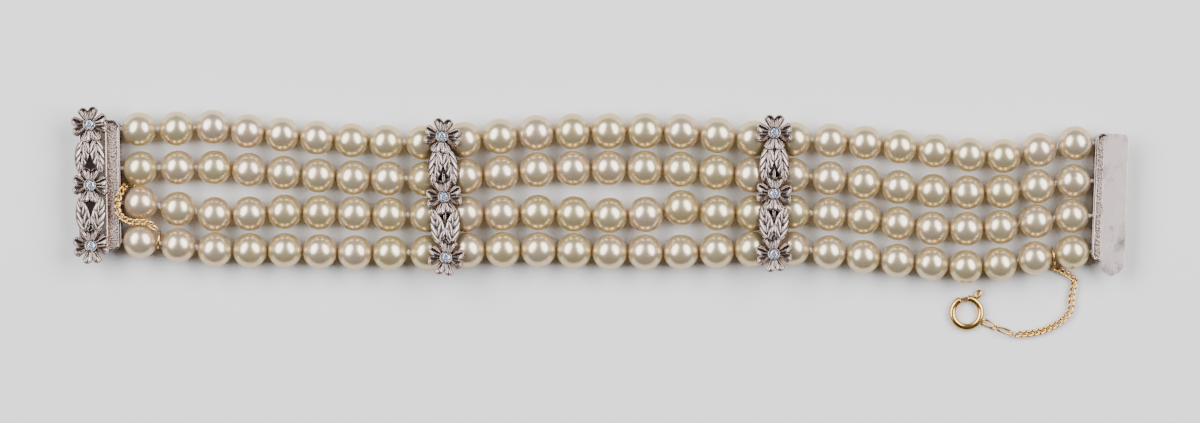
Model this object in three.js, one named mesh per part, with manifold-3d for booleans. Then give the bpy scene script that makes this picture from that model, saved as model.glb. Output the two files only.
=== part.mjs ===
// A four-strand pearl bracelet, open and lying flat: 27 pearls on each silk strand, two spacer bars
// with flowers and leaves, a box clasp with the same ornament, its folded tongue, and a gold safety
// chain in two halves that ends in a spring ring.
//
// Sizes are in millimetres. X runs along the band from the clasp box to the tongue, Y runs across it
// towards strand 1, and Z is up from the surface that the bracelet lies on.
import * as THREE from "three";
import { mergeVertices } from "three/addons/utils/BufferGeometryUtils.js";
import Module from "manifold-3d";

const wasm = await Module();
wasm.setup();

// Pearls and silk
const PEARLS_IN_RUN = 9;
const PEARL_CLEARANCE = 0.015; // between two pearls that touch on the silk
const BEAD_SIDES = 10;
const SILK_RADIUS = 0.35;
const SILK_IN_WALL = 0.8; // how far a strand's end reaches into its hole in the clasp
const HOLE_CLEARANCE = 0.2;

// Where each run of nine pearls starts and ends along X, and its place in Y at its first, third,
// fifth, seventh and ninth pearl.
const RUNS = [
  { strand: 1, part: "box", fromX: -79.5, toX: -30.7, y: [10.8, 10.9, 9.9, 8.9, 8.5] },
  { strand: 1, part: "middle", fromX: -23.7, toX: 26.2, y: [9.0, 10.2, 10.5, 10.4, 9.2] },
  { strand: 1, part: "tongue", fromX: 33.1, toX: 81.5, y: [9.1, 8.5, 7.1, 6.2, 8.4] },
  { strand: 2, part: "box", fromX: -79.3, toX: -30.4, y: [4.1, 4.2, 3.3, 2.5, 2.3] },
  { strand: 2, part: "middle", fromX: -23.4, toX: 25.9, y: [2.7, 3.8, 4.1, 3.9, 2.9] },
  { strand: 2, part: "tongue", fromX: 32.9, toX: 81.2, y: [2.9, 1.7, 0.2, 0.1, 1.9] },
  { strand: 3, part: "box", fromX: -79.3, toX: -30.1, y: [-1.9, -3.8, -3.4, -3.7, -4.0] },
  { strand: 3, part: "middle", fromX: -23.3, toX: 26.1, y: [-3.8, -3.5, -4.0, -3.6, -3.6] },
  { strand: 3, part: "tongue", fromX: 32.9, toX: 80.9, y: [-3.4, -4.4, -6.2, -6.0, -4.1] },
  { strand: 4, part: "box", fromX: -79.3, toX: -30.0, y: [-8.4, -9.9, -10.0, -10.4, -10.4] },
  { strand: 4, part: "middle", fromX: -23.1, toX: 25.9, y: [-10.0, -9.9, -10.3, -10.3, -9.8] },
  { strand: 4, part: "tongue", fromX: 32.9, toX: 81.0, y: [-9.7, -11.1, -12.3, -12.4, -10.3] },
];
const STRANDS = [1, 2, 3, 4];

// Knots open the string after these pearls of a run.
const KNOT_GAPS = {
  box: { 1: 0.45, 2: 0.3, 8: 0.4 },
  middle: {},
  tongue: { 1: 0.35, 7: 0.15, 8: 0.25 },
};
// The two jump rings of the safety chain hang on strand 4, where the string is opened for them.
const RING_STRAND = 4;
const RING_GAPS = { box: { 1: 0.5 }, middle: {}, tongue: { 8: 0.55 } };
// Single pearls that lie out of line.
const NUDGES = [
  { strand: 1, part: "box", pearl: 3, y: 0.3 },
  { strand: 3, part: "middle", pearl: 7, y: 0.9 },
  { strand: 4, part: "tongue", pearl: 6, y: -0.3 },
];

// Ornament: three flowers in a row with a pair of leaves in each space between them
const FLOWER_PITCH = 10.4;
const PETALS = 4;
const PETAL_THICKNESS = 0.45;
const PETAL_LIFT = 0.12; // how far a petal rises for each millimetre outwards
// One side of a heart-shaped petal that points along +Y, from the gap beside it to the notch at its tip.
const PETAL_SIDE = [[1.12, 1.12], [1.62, 2.35], [0.85, 3.08], [0, 2.55]];
const LEAF = { length: 5.8, half: 1.2, thickness: 0.55, away: 1.28, along: 5.0 };
const LEAF_SPLAY = THREE.MathUtils.degToRad(6);
const LEAF_ROLL = THREE.MathUtils.degToRad(12);

// Stones, cut round with a table, eight crown facets and eight pavilion facets, in plain collets
const STONE = { radius: 0.72, tableRadius: 0.42, crown: 0.28, pavilion: 0.48, facets: 8 };
const COLLET = { outer: 1.05, inner: 0.9, foot: 0.92, rise: 1.32, rim: 0.12, seat: 0.54 };

// Spacer bars
const BAR = { width: 0.5, length: 22.4, bottom: 0.9, top: 6.5, ornamentZ: 6.3 };
const BARS = [
  { name: "bar_1", x: -27.0, y: -0.85, turn: 1.9, flowerTurns: [-8, 5, -10] },
  { name: "bar_2", x: 29.6, y: -0.25, turn: -0.3, flowerTurns: [0, -4, 6] },
];

// Clasp box: the ornament's centre is its own origin, and its mouth opens towards -X
const BOX = { x: -87.8, y: 1.15, turn: 0.9, left: -2.05, right: 3.0, half: 11.2, top: 4.6, ornamentZ: 4.25 };
const BOX_WALL = 0.5;
const BOX_CORNER = 0.8;
const BOX_FLOWER_TURNS = [6, -3, 4];
const MOUTH = { bottom: 1.5, endSlotBottom: 3.3 };

// End walls: a stippled shelf with a raised rim where the strands are fastened
const SHELF = { top: 3.7, rimTop: 4.05, rimWidth: 0.45, corner: 1.5 };
const BOX_SHELF_WIDTH = 2.12;
const TONGUE_SHELF_WIDTH = 1.8;

// Tongue: the strand side of its shelf is its own origin
const TONGUE = { x: 84.56, y: -0.95, turn: -2.1, half: 11.1 };
const PLATE = { left: 1.3, right: 5.7, topY: 11.05, bottomY: -10.8, endY: -13.35, z: 3.45, thickness: 0.4 };
const FOLD_RADIUS = 0.55; // to the middle of the metal
const SPRING_LEAF = { thickness: 0.35, half: 9.2, freeEdge: 2.3, freeZ: 1.35 };

// Safety chain
const CHAIN_RADIUS = 0.6;
const CHAIN_SIDES = 8;
const CHAIN_STEPS = 11;
const JUMP_RING = { radius: 1.45, wire: 0.17 };
const END_RING = { radius: 0.85, wire: 0.17 };
const LINK_SIDES = 10;
const WIRE_SIDES = 5;
const FLOOR_Z = 0.62; // the middle of a chain that lies on the surface
// The half on the tongue side, from its jump ring round to the link of the spring ring.
const CHAIN_TO_SPRING_RING = [
  [78.0, -12.95, 0.75], [79.2, -13.5, FLOOR_Z], [80.5, -14.3, FLOOR_Z], [81.5, -15.3, FLOOR_Z],
  [81.3, -16.6, FLOOR_Z], [81.0, -18.4, FLOOR_Z], [80.9, -20.0, FLOOR_Z], [80.0, -21.5, FLOOR_Z],
  [78.2, -22.9, FLOOR_Z], [75.6, -24.0, FLOOR_Z], [73.2, -24.4, FLOOR_Z], [71.2, -24.5, FLOOR_Z],
];
// The half on the box side, from its jump ring over the groove and the rim, then down between
// strands 2 and 3 to the surface.
const CHAIN_TO_END_RING = [
  [-76.6, -6.5, 4.95], [-77.4, -5.6, 5.0], [-78.4, -5.2, 4.85], [-79.5, -5.15, 4.8],
  [-80.8, -5.1, 4.8], [-82.0, -4.6, 4.95], [-82.9, -3.6, 5.1], [-83.1, -2.0, 5.1],
  [-82.7, -0.4, 5.0], [-82.1, 0.7, 4.5], [-81.85, 1.1, 3.4], [-81.8, 1.1, 2.2],
  [-81.6, 1.1, 1.2], [-81.1, 1.1, FLOOR_Z],
];

// Spring ring: angles in degrees from +X, turning towards +Y
const RING = { x: 62.95, y: -20.8, radius: 2.46, tube: 0.6, sides: 16, tubeSides: 7 };
const RING_GAP = { from: 86, to: 116 };
const BOLT = { radius: 0.25, tail: 50, lead: 124, travel: 38, sides: 6 };
const CHANNEL = { radius: 0.42, from: 8, to: 130 };
const TAB = { angle: 58, thickness: 0.34, stemHalf: 0.28, middle: 3.85, halfLong: 0.62, halfWide: 0.55 };
const TAB_HOLE = { halfLong: 0.32, halfWide: 0.22 };
const TAB_SLOT = { from: 10, to: 68, half: 0.28, outer: 3.4 };
// The eye leans one way about its length and the end link in it leans the other way.
const EYE = { angle: -27, long: 1.4, wide: 0.62, wire: 0.18, away: 4.3, roll: 45 };
const END_LINK = { x: 6.27, y: -3.0, long: 1.62, wide: 0.55, wire: 0.16, turn: -20, roll: -45 };

// Materials
const pearlNacre = new THREE.MeshStandardMaterial({ color: 0xe9dec4, roughness: 0.25 });
const whiteGold = new THREE.MeshStandardMaterial({ color: 0xcbc3bc, roughness: 0.35, metalness: 1 });
const yellowGold = new THREE.MeshStandardMaterial({ color: 0xd9ab62, roughness: 0.25, metalness: 1 });
const diamond = new THREE.MeshStandardMaterial({ color: 0xe6eef6, roughness: 0.02 });

const radians = THREE.MathUtils.degToRad;
const sum = (values) => values.reduce((total, value) => total + value, 0);

// Solids from three.js geometries, and back
function solid(geometry) {
  const bare = geometry.index ? geometry.toNonIndexed() : geometry.clone();
  bare.deleteAttribute("normal");
  bare.deleteAttribute("uv");
  const merged = mergeVertices(bare, 1e-4);
  return new wasm.Manifold(
    new wasm.Mesh({
      numProp: 3,
      vertProperties: merged.attributes.position.array,
      triVerts: new Uint32Array(merged.index.array),
    }),
  );
}

function joined(solids) {
  return solids.reduce((whole, piece) => whole.add(piece));
}

function geometryOf(manifold) {
  const mesh = manifold.getMesh();
  return new THREE.BufferGeometry()
    .setAttribute("position", new THREE.BufferAttribute(mesh.vertProperties, 3))
    .setIndex(new THREE.BufferAttribute(mesh.triVerts, 1))
    .toNonIndexed();
}

function node(name, geometry, material) {
  geometry.computeVertexNormals();
  const mesh = new THREE.Mesh(geometry, material);
  mesh.name = name;
  return mesh;
}

function box(lowX, highX, lowY, highY, lowZ, highZ) {
  return new THREE.BoxGeometry(highX - lowX, highY - lowY, highZ - lowZ).translate(
    (lowX + highX) / 2,
    (lowY + highY) / 2,
    (lowZ + highZ) / 2,
  );
}

function plate(shape, bottom, thickness, curveSegments = 3) {
  const settings = { depth: thickness, bevelEnabled: false, curveSegments };
  return new THREE.ExtrudeGeometry(shape, settings).translate(0, 0, bottom);
}

function shapeOf(points) {
  return new THREE.Shape(points.map(([x, y]) => new THREE.Vector2(x, y)));
}

// A rectangle whose corners at its high-X end are rounded.
function roundedEnd(lowX, highX, half, corner) {
  const shape = new THREE.Shape();
  shape.moveTo(lowX, -half);
  shape.lineTo(highX - corner, -half);
  shape.absarc(highX - corner, -half + corner, corner, -Math.PI / 2, 0, false);
  shape.absarc(highX - corner, half - corner, corner, 0, Math.PI / 2, false);
  shape.lineTo(lowX, half);
  return shape;
}

// A closed profile of [radius, height] rows, turned about Z.
function turned(profile, sides) {
  const points = profile.map(([radius, height]) => new THREE.Vector2(radius, height));
  return new THREE.LatheGeometry(points, sides).rotateX(Math.PI / 2);
}

function rodAlongX(fromX, toX, y, z, radius, sides = 8) {
  const length = toX - fromX;
  return new THREE.CylinderGeometry(radius, radius, length, sides)
    .rotateZ(Math.PI / 2)
    .translate(fromX + length / 2, y, z);
}

function tube(curve, radius, sides, steps) {
  const section = new THREE.Shape();
  for (let side = 0; side < sides; side++) {
    const angle = (2 * Math.PI * side) / sides;
    const point = [radius * Math.cos(angle), radius * Math.sin(angle)];
    if (side) section.lineTo(...point);
    else section.moveTo(...point);
  }
  return new THREE.ExtrudeGeometry(section, { steps, extrudePath: curve });
}

class FlatArc extends THREE.Curve {
  constructor(radius, from, to) {
    super();
    Object.assign(this, { radius, from, to });
  }
  getPoint(share) {
    const angle = radians(THREE.MathUtils.lerp(this.from, this.to, share));
    return new THREE.Vector3(this.radius * Math.cos(angle), this.radius * Math.sin(angle), 0);
  }
}

// Pearl strands
function pearlsOfRun(run) {
  const gaps = { ...KNOT_GAPS[run.part], ...(run.strand === RING_STRAND ? RING_GAPS[run.part] : {}) };
  const pitch = (run.toX - run.fromX - sum(Object.values(gaps))) / (PEARLS_IN_RUN - 1);
  const route = new THREE.SplineCurve(run.y.map((y, station) => new THREE.Vector2(station, y)));
  const pearls = [];
  let x = run.fromX;
  for (let number = 1; number <= PEARLS_IN_RUN; number++) {
    const radius = (pitch - PEARL_CLEARANCE) / 2;
    const nudge = NUDGES.find(
      (row) => row.strand === run.strand && row.part === run.part && row.pearl === number,
    );
    const y = route.getPoint((number - 1) / (PEARLS_IN_RUN - 1)).y + (nudge ? nudge.y : 0);
    pearls.push({ x, y, z: radius, radius, ringAfter: false });
    x += pitch + (gaps[number] || 0);
  }
  if (run.strand === RING_STRAND) {
    for (const number of Object.keys(RING_GAPS[run.part])) pearls[number - 1].ringAfter = true;
  }
  return pearls;
}

function pearlsOf(strand) {
  return RUNS.filter((run) => run.strand === strand).flatMap(pearlsOfRun);
}

// The middle of the silk between two pearls.
function silkBetween(before, after) {
  return {
    x: (before.x + before.radius + after.x - after.radius) / 2,
    y: (before.y + after.y) / 2,
    z: (before.z + after.z) / 2,
  };
}

// The rows of a strand's lathe profile: the place along X, the ring's radius and where its centre is.
function strandRings(pearls) {
  const vertexRadius = 1 / Math.cos(Math.PI / BEAD_SIDES);
  const angles = [-3, -1, 1, 3].map((step) => (step * Math.PI) / BEAD_SIDES);
  const first = pearls[0];
  const last = pearls[pearls.length - 1];
  const boxEnd = first.x - first.radius - SILK_IN_WALL;
  const tongueEnd = last.x + last.radius + SILK_IN_WALL;
  const rings = [
    { x: boxEnd, radius: 0, y: first.y, z: first.z },
    { x: boxEnd, radius: SILK_RADIUS, y: first.y, z: first.z },
    { x: first.x - first.radius, radius: SILK_RADIUS, y: first.y, z: first.z },
  ];
  pearls.forEach((pearl, index) => {
    for (const angle of angles) {
      rings.push({
        x: pearl.x + pearl.radius * vertexRadius * Math.sin(angle),
        radius: pearl.radius * vertexRadius * Math.cos(angle),
        y: pearl.y,
        z: pearl.z,
      });
    }
    const next = pearls[index + 1];
    if (!next) return;
    const silk = silkBetween(pearl, next);
    const atBar = (index + 1) % PEARLS_IN_RUN === 0;
    const places = atBar || pearl.ringAfter
      ? [pearl.x + pearl.radius, next.x - next.radius]
      : [silk.x];
    for (const x of places) rings.push({ x, radius: SILK_RADIUS, y: silk.y, z: silk.z });
  });
  rings.push({ x: last.x + last.radius, radius: SILK_RADIUS, y: last.y, z: last.z });
  rings.push({ x: tongueEnd, radius: SILK_RADIUS, y: last.y, z: last.z });
  rings.push({ x: tongueEnd, radius: 0, y: last.y, z: last.z });
  return rings;
}

// One lathe makes the whole strand, and each ring is then moved to its pearl's own line.
function pearlStrand(strand) {
  const rings = strandRings(pearlsOf(strand));
  const profile = rings.map((ring) => new THREE.Vector2(ring.radius, ring.x));
  const geometry = new THREE.LatheGeometry(profile, BEAD_SIDES).rotateZ(-Math.PI / 2);
  const position = geometry.attributes.position;
  for (let vertex = 0; vertex < position.count; vertex++) {
    const ring = rings[vertex % rings.length];
    position.setY(vertex, position.getY(vertex) + ring.y);
    position.setZ(vertex, position.getZ(vertex) + ring.z);
  }
  return node(`pearl_strand_${strand}`, geometry, pearlNacre);
}

// Ornament
function petalsGeometry() {
  const side = PETAL_SIDE.map(([x, y]) => new THREE.Vector2(x, y));
  const mirrored = side.slice(1, -1).reverse().map(({ x, y }) => new THREE.Vector2(-x, y));
  const outline = [];
  for (let number = 0; number < PETALS; number++) {
    const turn = (2 * Math.PI * number) / PETALS;
    for (const point of [...side, ...mirrored]) {
      outline.push(point.clone().rotateAround(new THREE.Vector2(), turn));
    }
  }
  const geometry = plate(new THREE.Shape(outline), 0, PETAL_THICKNESS);
  const position = geometry.attributes.position;
  for (let vertex = 0; vertex < position.count; vertex++) {
    const outwards = Math.hypot(position.getX(vertex), position.getY(vertex));
    position.setZ(vertex, position.getZ(vertex) + PETAL_LIFT * outwards);
  }
  return geometry;
}

function colletGeometry() {
  const { outer, inner, foot, rise, rim, seat } = COLLET;
  const profile = [[0, 0], [foot, 0], [outer, rise], [inner, rise], [0, rise - rim - seat]];
  return turned(profile, STONE.facets);
}

// A leaf that grows from the bottom flower towards the middle one, on one side of the bar.
function leafGeometry(side) {
  const { length, half, thickness, away, along } = LEAF;
  const outline = [
    [0, -length / 2], [half * 0.9, -length / 5], [half * 0.75, length / 4],
    [0, length / 2], [-half * 0.75, length / 4], [-half * 0.9, -length / 5],
  ];
  return plate(shapeOf(outline), 0, thickness)
    .rotateY(side * LEAF_ROLL)
    .rotateZ(-side * LEAF_SPLAY)
    .translate(side * away, -along, 0);
}

function ornamentSolid(flowerTurns, z) {
  const flowers = flowerTurns.flatMap((turn, index) =>
    [petalsGeometry(), colletGeometry()].map((geometry) =>
      geometry.rotateZ(radians(turn)).translate(0, (1 - index) * FLOWER_PITCH, z),
    ),
  );
  const leaves = [0, Math.PI].flatMap((turn) =>
    [1, -1].map((side) => leafGeometry(side).rotateZ(turn).translate(0, 0, z)),
  );
  return joined([...flowers, ...leaves].map(solid));
}

// The stones of one ornament, as nodes of their own a hair clear of their collets.
function stonesOf(name, ornamentZ) {
  const { radius, tableRadius, crown, pavilion, facets } = STONE;
  const girdle = COLLET.rise - COLLET.rim;
  const profile = [[0, girdle - pavilion], [radius, girdle], [tableRadius, girdle + crown], [0, girdle + crown]];
  return ["top", "middle", "bottom"].map((place, index) => {
    const mesh = node(`diamond_${name}_${place}`, turned(profile, facets), diamond);
    mesh.position.set(0, (1 - index) * FLOWER_PITCH, ornamentZ);
    return mesh;
  });
}

// A group that stands at a place of the band, turned about Z.
function placed(place, meshes) {
  const group = new THREE.Group();
  group.position.set(place.x, place.y, 0);
  group.rotation.z = radians(place.turn);
  group.add(...meshes);
  return group;
}

function localPlace(place, point) {
  const moved = new THREE.Vector2(point.x - place.x, point.y - place.y);
  return moved.rotateAround(new THREE.Vector2(), -radians(place.turn));
}

function spacerBar(place, runIndex) {
  const half = BAR.length / 2;
  let metal = solid(box(-BAR.width / 2, BAR.width / 2, -half, half, BAR.bottom, BAR.top));
  for (const strand of STRANDS) {
    const pearls = pearlsOf(strand);
    const last = pearls[(runIndex + 1) * PEARLS_IN_RUN - 1];
    const silk = silkBetween(last, pearls[(runIndex + 1) * PEARLS_IN_RUN]);
    const { y } = localPlace(place, silk);
    metal = metal.subtract(
      solid(rodAlongX(-1, 1, y, silk.z, SILK_RADIUS + HOLE_CLEARANCE, 6)),
    );
  }
  metal = metal.add(ornamentSolid(place.flowerTurns, BAR.ornamentZ));
  const bar = node(`spacer_${place.name}`, geometryOf(metal), whiteGold);
  return placed(place, [bar, ...stonesOf(place.name, BAR.ornamentZ)]);
}

// The holes that the strands' ends go into, drilled into a wall from its strand side.
function strandHoles(place, faceX, deepX, pearlIndex) {
  return joined(
    STRANDS.map((strand) => {
      const pearl = pearlsOf(strand).at(pearlIndex);
      const { y } = localPlace(place, pearl);
      return solid(
        rodAlongX(Math.min(faceX, deepX), Math.max(faceX, deepX), y, pearl.z, SILK_RADIUS + HOLE_CLEARANCE, 6),
      );
    }),
  );
}

function claspBox() {
  const { left, right, half, top } = BOX;
  const face = right + BOX_SHELF_WIDTH;
  const inner = half - BOX_WALL;
  const shelf = plate(roundedEnd(right - BOX_WALL, face, half, SHELF.corner), 0, SHELF.rimTop);
  const shelfDip = box(
    right, face - SHELF.rimWidth, -half + SHELF.rimWidth, half - SHELF.rimWidth, SHELF.top, top,
  );
  const body = plate(roundedEnd(left, right, half, BOX_CORNER), 0, top);
  const room = box(left + BOX_WALL, right - BOX_WALL, -inner, inner, BOX_WALL, top - BOX_WALL);
  const mouth = box(left - 1, left + 1, -inner, inner, MOUTH.bottom, top - BOX_WALL);
  const endSlot = box(left - 1, right - BOX_WALL, -half - 1, -inner + 1, MOUTH.endSlotBottom, top - BOX_WALL);
  const metal = joined([shelf, body].map(solid))
    .subtract(joined([shelfDip, room, mouth, endSlot].map(solid)))
    .subtract(strandHoles(BOX, face - SILK_IN_WALL - HOLE_CLEARANCE, face + 1, 0))
    .add(ornamentSolid(BOX_FLOWER_TURNS, BOX.ornamentZ));
  const mesh = node("clasp_box", geometryOf(metal), whiteGold);
  return placed(BOX, [mesh, ...stonesOf("clasp", BOX.ornamentZ)]);
}

// The plate that shows on top of the tongue, with one corner cut and one end rounded to a thumb piece.
function tonguePlate() {
  const { left, right, topY, bottomY, endY, z, thickness } = PLATE;
  const middle = (left + right) / 2;
  const shape = new THREE.Shape();
  shape.moveTo(left, topY);
  shape.lineTo(left, bottomY);
  shape.absellipse(middle, bottomY, (right - left) / 2, bottomY - endY, Math.PI, 2 * Math.PI, false);
  shape.lineTo(right, topY - 0.7);
  shape.lineTo(right - 0.6, topY);
  return plate(shape, z, thickness, 5);
}

// The fold at the plate's edge and the spring leaf that returns beneath it, drawn in section.
function tongueSpring() {
  const { thickness, half, freeEdge, freeZ } = SPRING_LEAF;
  const outer = FOLD_RADIUS + thickness / 2;
  const inner = FOLD_RADIUS - thickness / 2;
  const foldX = PLATE.right - outer;
  const foldZ = PLATE.z + PLATE.thickness / 2 - FOLD_RADIUS;
  const lean = Math.atan2(foldZ - FOLD_RADIUS - freeZ, foldX - freeEdge);
  const start = -Math.PI / 2 - lean;
  const section = new THREE.Shape();
  section.absarc(foldX, foldZ, outer, start, Math.PI / 2, false);
  section.absarc(foldX, foldZ, inner, Math.PI / 2, start, true);
  section.lineTo(freeEdge, freeZ + thickness / 2);
  section.lineTo(freeEdge, freeZ - thickness / 2);
  return plate(section, -half, 2 * half, 4).rotateX(Math.PI / 2);
}

function tongue() {
  const { half } = TONGUE;
  const mirrored = roundedEnd(-TONGUE_SHELF_WIDTH, 0, half, SHELF.corner);
  const shelf = plate(mirrored, 0, SHELF.rimTop).rotateZ(Math.PI);
  const dip = box(SHELF.rimWidth, TONGUE_SHELF_WIDTH + 1, -half + SHELF.rimWidth, half - SHELF.rimWidth,
    SHELF.top, SHELF.rimTop + 1);
  const metal = solid(shelf)
    .subtract(solid(dip))
    .add(solid(tonguePlate()))
    .add(solid(tongueSpring()))
    .subtract(strandHoles(TONGUE, SILK_IN_WALL + HOLE_CLEARANCE, -1, -1));
  return placed(TONGUE, [node("clasp_tongue", geometryOf(metal), whiteGold)]);
}

// Safety chain
function chainHalf(name, route) {
  const curve = new THREE.CatmullRomCurve3(route.map((point) => new THREE.Vector3(...point)), false, "centripetal");
  return node(name, tube(curve, CHAIN_RADIUS, CHAIN_SIDES, CHAIN_STEPS), yellowGold);
}

function wireRing({ radius, wire }) {
  return new THREE.TorusGeometry(radius, wire, WIRE_SIDES, LINK_SIDES);
}

// A jump ring round the silk of strand 4, standing across the string and leaning towards its chain.
function jumpRing(name, pearlIndex, leanY, leanZ) {
  const pearls = pearlsOf(RING_STRAND);
  const before = pearls[pearlIndex];
  const after = pearls[pearlIndex + 1];
  const silk = silkBetween(before, after);
  const mesh = node(name, wireRing(JUMP_RING).rotateY(Math.PI / 2), yellowGold);
  mesh.position.set(silk.x, silk.y + leanY, silk.z + leanZ);
  mesh.rotation.z = Math.atan2(after.y - before.y, after.x - before.x);
  return mesh;
}

function endRing() {
  const [x, y] = CHAIN_TO_END_RING.at(-1);
  const mesh = node("chain_end_ring", wireRing(END_RING), yellowGold);
  mesh.position.set(x + 0.3 + END_RING.radius + END_RING.wire, y, END_RING.wire + 0.03);
  return mesh;
}

// Spring ring, flat on the surface
function sector(inner, outer, from, to) {
  const shape = new THREE.Shape();
  shape.absarc(0, 0, outer, radians(from), radians(to), false);
  shape.absarc(0, 0, inner, radians(to), radians(from), true);
  return shape;
}

function springRing() {
  const { radius, tube: tubeRadius, sides, tubeSides } = RING;
  const gap = plate(sector(radius - 2 * tubeRadius, radius + 2 * tubeRadius, RING_GAP.from, RING_GAP.to), -1, 2);
  const channel = tube(new FlatArc(radius, CHANNEL.from, CHANNEL.to), CHANNEL.radius, BOLT.sides, 8);
  const slot = plate(
    sector(radius, TAB_SLOT.outer, TAB_SLOT.from, TAB_SLOT.to), -TAB_SLOT.half, 2 * TAB_SLOT.half,
  );
  const eye = wireLink(EYE).translate(EYE.away, 0, 0).rotateZ(radians(EYE.angle));
  const metal = solid(new THREE.TorusGeometry(radius, tubeRadius, tubeSides, sides))
    .subtract(joined([gap, channel, slot].map(solid)))
    .add(solid(eye));
  return node("spring_ring", geometryOf(metal), yellowGold);
}

function springRingBolt() {
  const { thickness, stemHalf, middle, halfLong, halfWide } = TAB;
  const neck = Math.asin(stemHalf / halfWide);
  const outline = new THREE.Shape();
  outline.moveTo(RING.radius, -stemHalf);
  outline.absellipse(middle, 0, halfLong, halfWide, neck - Math.PI, Math.PI - neck, false);
  outline.lineTo(RING.radius, stemHalf);
  const hole = new THREE.Path();
  hole.absellipse(middle, 0, TAB_HOLE.halfLong, TAB_HOLE.halfWide, 0, 2 * Math.PI, true);
  outline.holes.push(hole);
  const tab = plate(outline, -thickness / 2, thickness).rotateZ(radians(TAB.angle));
  const wire = tube(new FlatArc(RING.radius, BOLT.tail, BOLT.lead), BOLT.radius, BOLT.sides, 8);
  return node("spring_ring_bolt", geometryOf(solid(wire).add(solid(tab))), yellowGold);
}

// The long link that joins the spring ring's eye to the chain.
function endLink() {
  const mesh = node("chain_end_link", wireLink(END_LINK), yellowGold);
  mesh.position.set(END_LINK.x, END_LINK.y, 0);
  mesh.rotation.z = radians(END_LINK.turn);
  return mesh;
}

// A ring of wire drawn out to an oval: only its middle line is stretched, so the wire stays round.
function wireLink({ long, wide, wire, roll }) {
  const geometry = new THREE.TorusGeometry(wide, wire, WIRE_SIDES, LINK_SIDES);
  const position = geometry.attributes.position;
  for (let vertex = 0; vertex < position.count; vertex++) {
    const angle = Math.atan2(position.getY(vertex), position.getX(vertex));
    position.setX(vertex, position.getX(vertex) + (long - wide) * Math.cos(angle));
  }
  return geometry.rotateX(radians(roll));
}

function springRingGroup() {
  const group = new THREE.Group();
  group.position.set(RING.x, RING.y, RING.tube + 0.01);
  group.add(springRing(), springRingBolt(), endLink());
  return group;
}

const band = new THREE.Group();
band.add(...STRANDS.map(pearlStrand));
band.add(...BARS.map(spacerBar));
band.add(claspBox(), tongue());
band.add(chainHalf("safety_chain_tongue_side", CHAIN_TO_SPRING_RING));
band.add(chainHalf("safety_chain_box_side", CHAIN_TO_END_RING));
band.add(jumpRing("jump_ring_tongue_side", 3 * PEARLS_IN_RUN - 2, -0.2, -0.75));
band.add(jumpRing("jump_ring_box_side", 0, 0.57, 0.57));
band.add(endRing(), springRingGroup());

// The origin is the middle of the footprint, on the surface that the bracelet lies on.
const extent = new THREE.Box3().setFromObject(band, true);
const centre = extent.getCenter(new THREE.Vector3());
band.position.set(-centre.x, -centre.y, 0);

const bracelet = new THREE.Group();
bracelet.add(band);

export default bracelet;
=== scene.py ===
# %% [markdown]
# # A pearl bracelet with diamond flowers
# The bracelet lies open and flat: four strands of pearls on knotted silk, two spacer bars and a box
# clasp with cast flowers and leaves, the folded tongue of the clasp, and a fine gold safety chain that
# ends in a spring ring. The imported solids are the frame. Every piece made here stands in the place of
# one of them, at the same size, and rides on the same body.

import math
import random

import bmesh
import bpy
from mathutils import Matrix, Vector, noise


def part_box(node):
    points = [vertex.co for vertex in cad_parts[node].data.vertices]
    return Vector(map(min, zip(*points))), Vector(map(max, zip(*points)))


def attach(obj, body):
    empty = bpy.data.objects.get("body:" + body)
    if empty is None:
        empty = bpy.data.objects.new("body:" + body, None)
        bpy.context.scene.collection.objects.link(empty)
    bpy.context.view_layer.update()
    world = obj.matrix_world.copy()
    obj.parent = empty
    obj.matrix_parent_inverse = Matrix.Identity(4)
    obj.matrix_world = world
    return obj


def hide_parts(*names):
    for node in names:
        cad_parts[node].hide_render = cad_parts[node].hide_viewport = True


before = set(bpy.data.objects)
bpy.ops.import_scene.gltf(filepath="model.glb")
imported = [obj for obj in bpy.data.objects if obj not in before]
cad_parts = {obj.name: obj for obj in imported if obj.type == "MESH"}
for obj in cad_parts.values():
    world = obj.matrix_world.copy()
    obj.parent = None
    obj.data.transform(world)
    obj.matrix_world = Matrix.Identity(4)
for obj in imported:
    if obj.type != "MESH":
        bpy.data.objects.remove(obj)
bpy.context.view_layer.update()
MM = 0.001
BODY = "bracelet"
BOLT_BODY = "spring_ring_bolt"
print("solids in the frame:", len(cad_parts))

# %% [markdown]
# The bracelet was drawn about the middle of its band, while the frame's origin is the middle of its
# footprint, with the chain counted in. The difference is read back from the first bar's middle stone,
# whose place on the band's own axes is known. Lengths below are in millimetres, and one function brings
# a point of the band to the frame.

# %% The band's own axes
BAR_1_ON_BAND = (-27.0, -0.85)
stone_low, stone_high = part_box("diamond_bar_1_middle")
SHIFT = (Vector(stone_low) + Vector(stone_high)) / 2 / MM - Vector((*BAR_1_ON_BAND, 0))
SHIFT.z = 0


def on_band(x, y, z=0.0):
    """A point of the band, in millimetres, as a point of the frame in metres."""
    return (Vector((x, y, z)) + SHIFT) * MM


BAND_TO_FRAME = Matrix.Diagonal((MM, MM, MM, 1)) @ Matrix.Translation(SHIFT)
print("the band's own origin is at", [round(value, 3) for value in SHIFT], "mm in the frame")

# %% [markdown]
# Colours are written as the hex values that a picture would show and turned to the linear values that
# the renderer works with. One small function adds a shader node with its settings and its links, and
# the others wrap it for what every finish here needs: a mix, a stretch of a range, noise and bump.

# %% Colour and node helpers
def colour(code):
    """An sRGB hex colour as a linear RGBA."""
    channels = [int(code[start : start + 2], 16) / 255 for start in (1, 3, 5)]
    linear = [c / 12.92 if c <= 0.04045 else ((c + 0.055) / 1.055) ** 2.4 for c in channels]
    return (*linear, 1.0)


def material(name):
    """An empty material with a Principled shader: (material, its tree, the shader)."""
    made = bpy.data.materials.new(name)
    made.use_nodes = True
    return made, made.node_tree, made.node_tree.nodes["Principled BSDF"]


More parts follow.
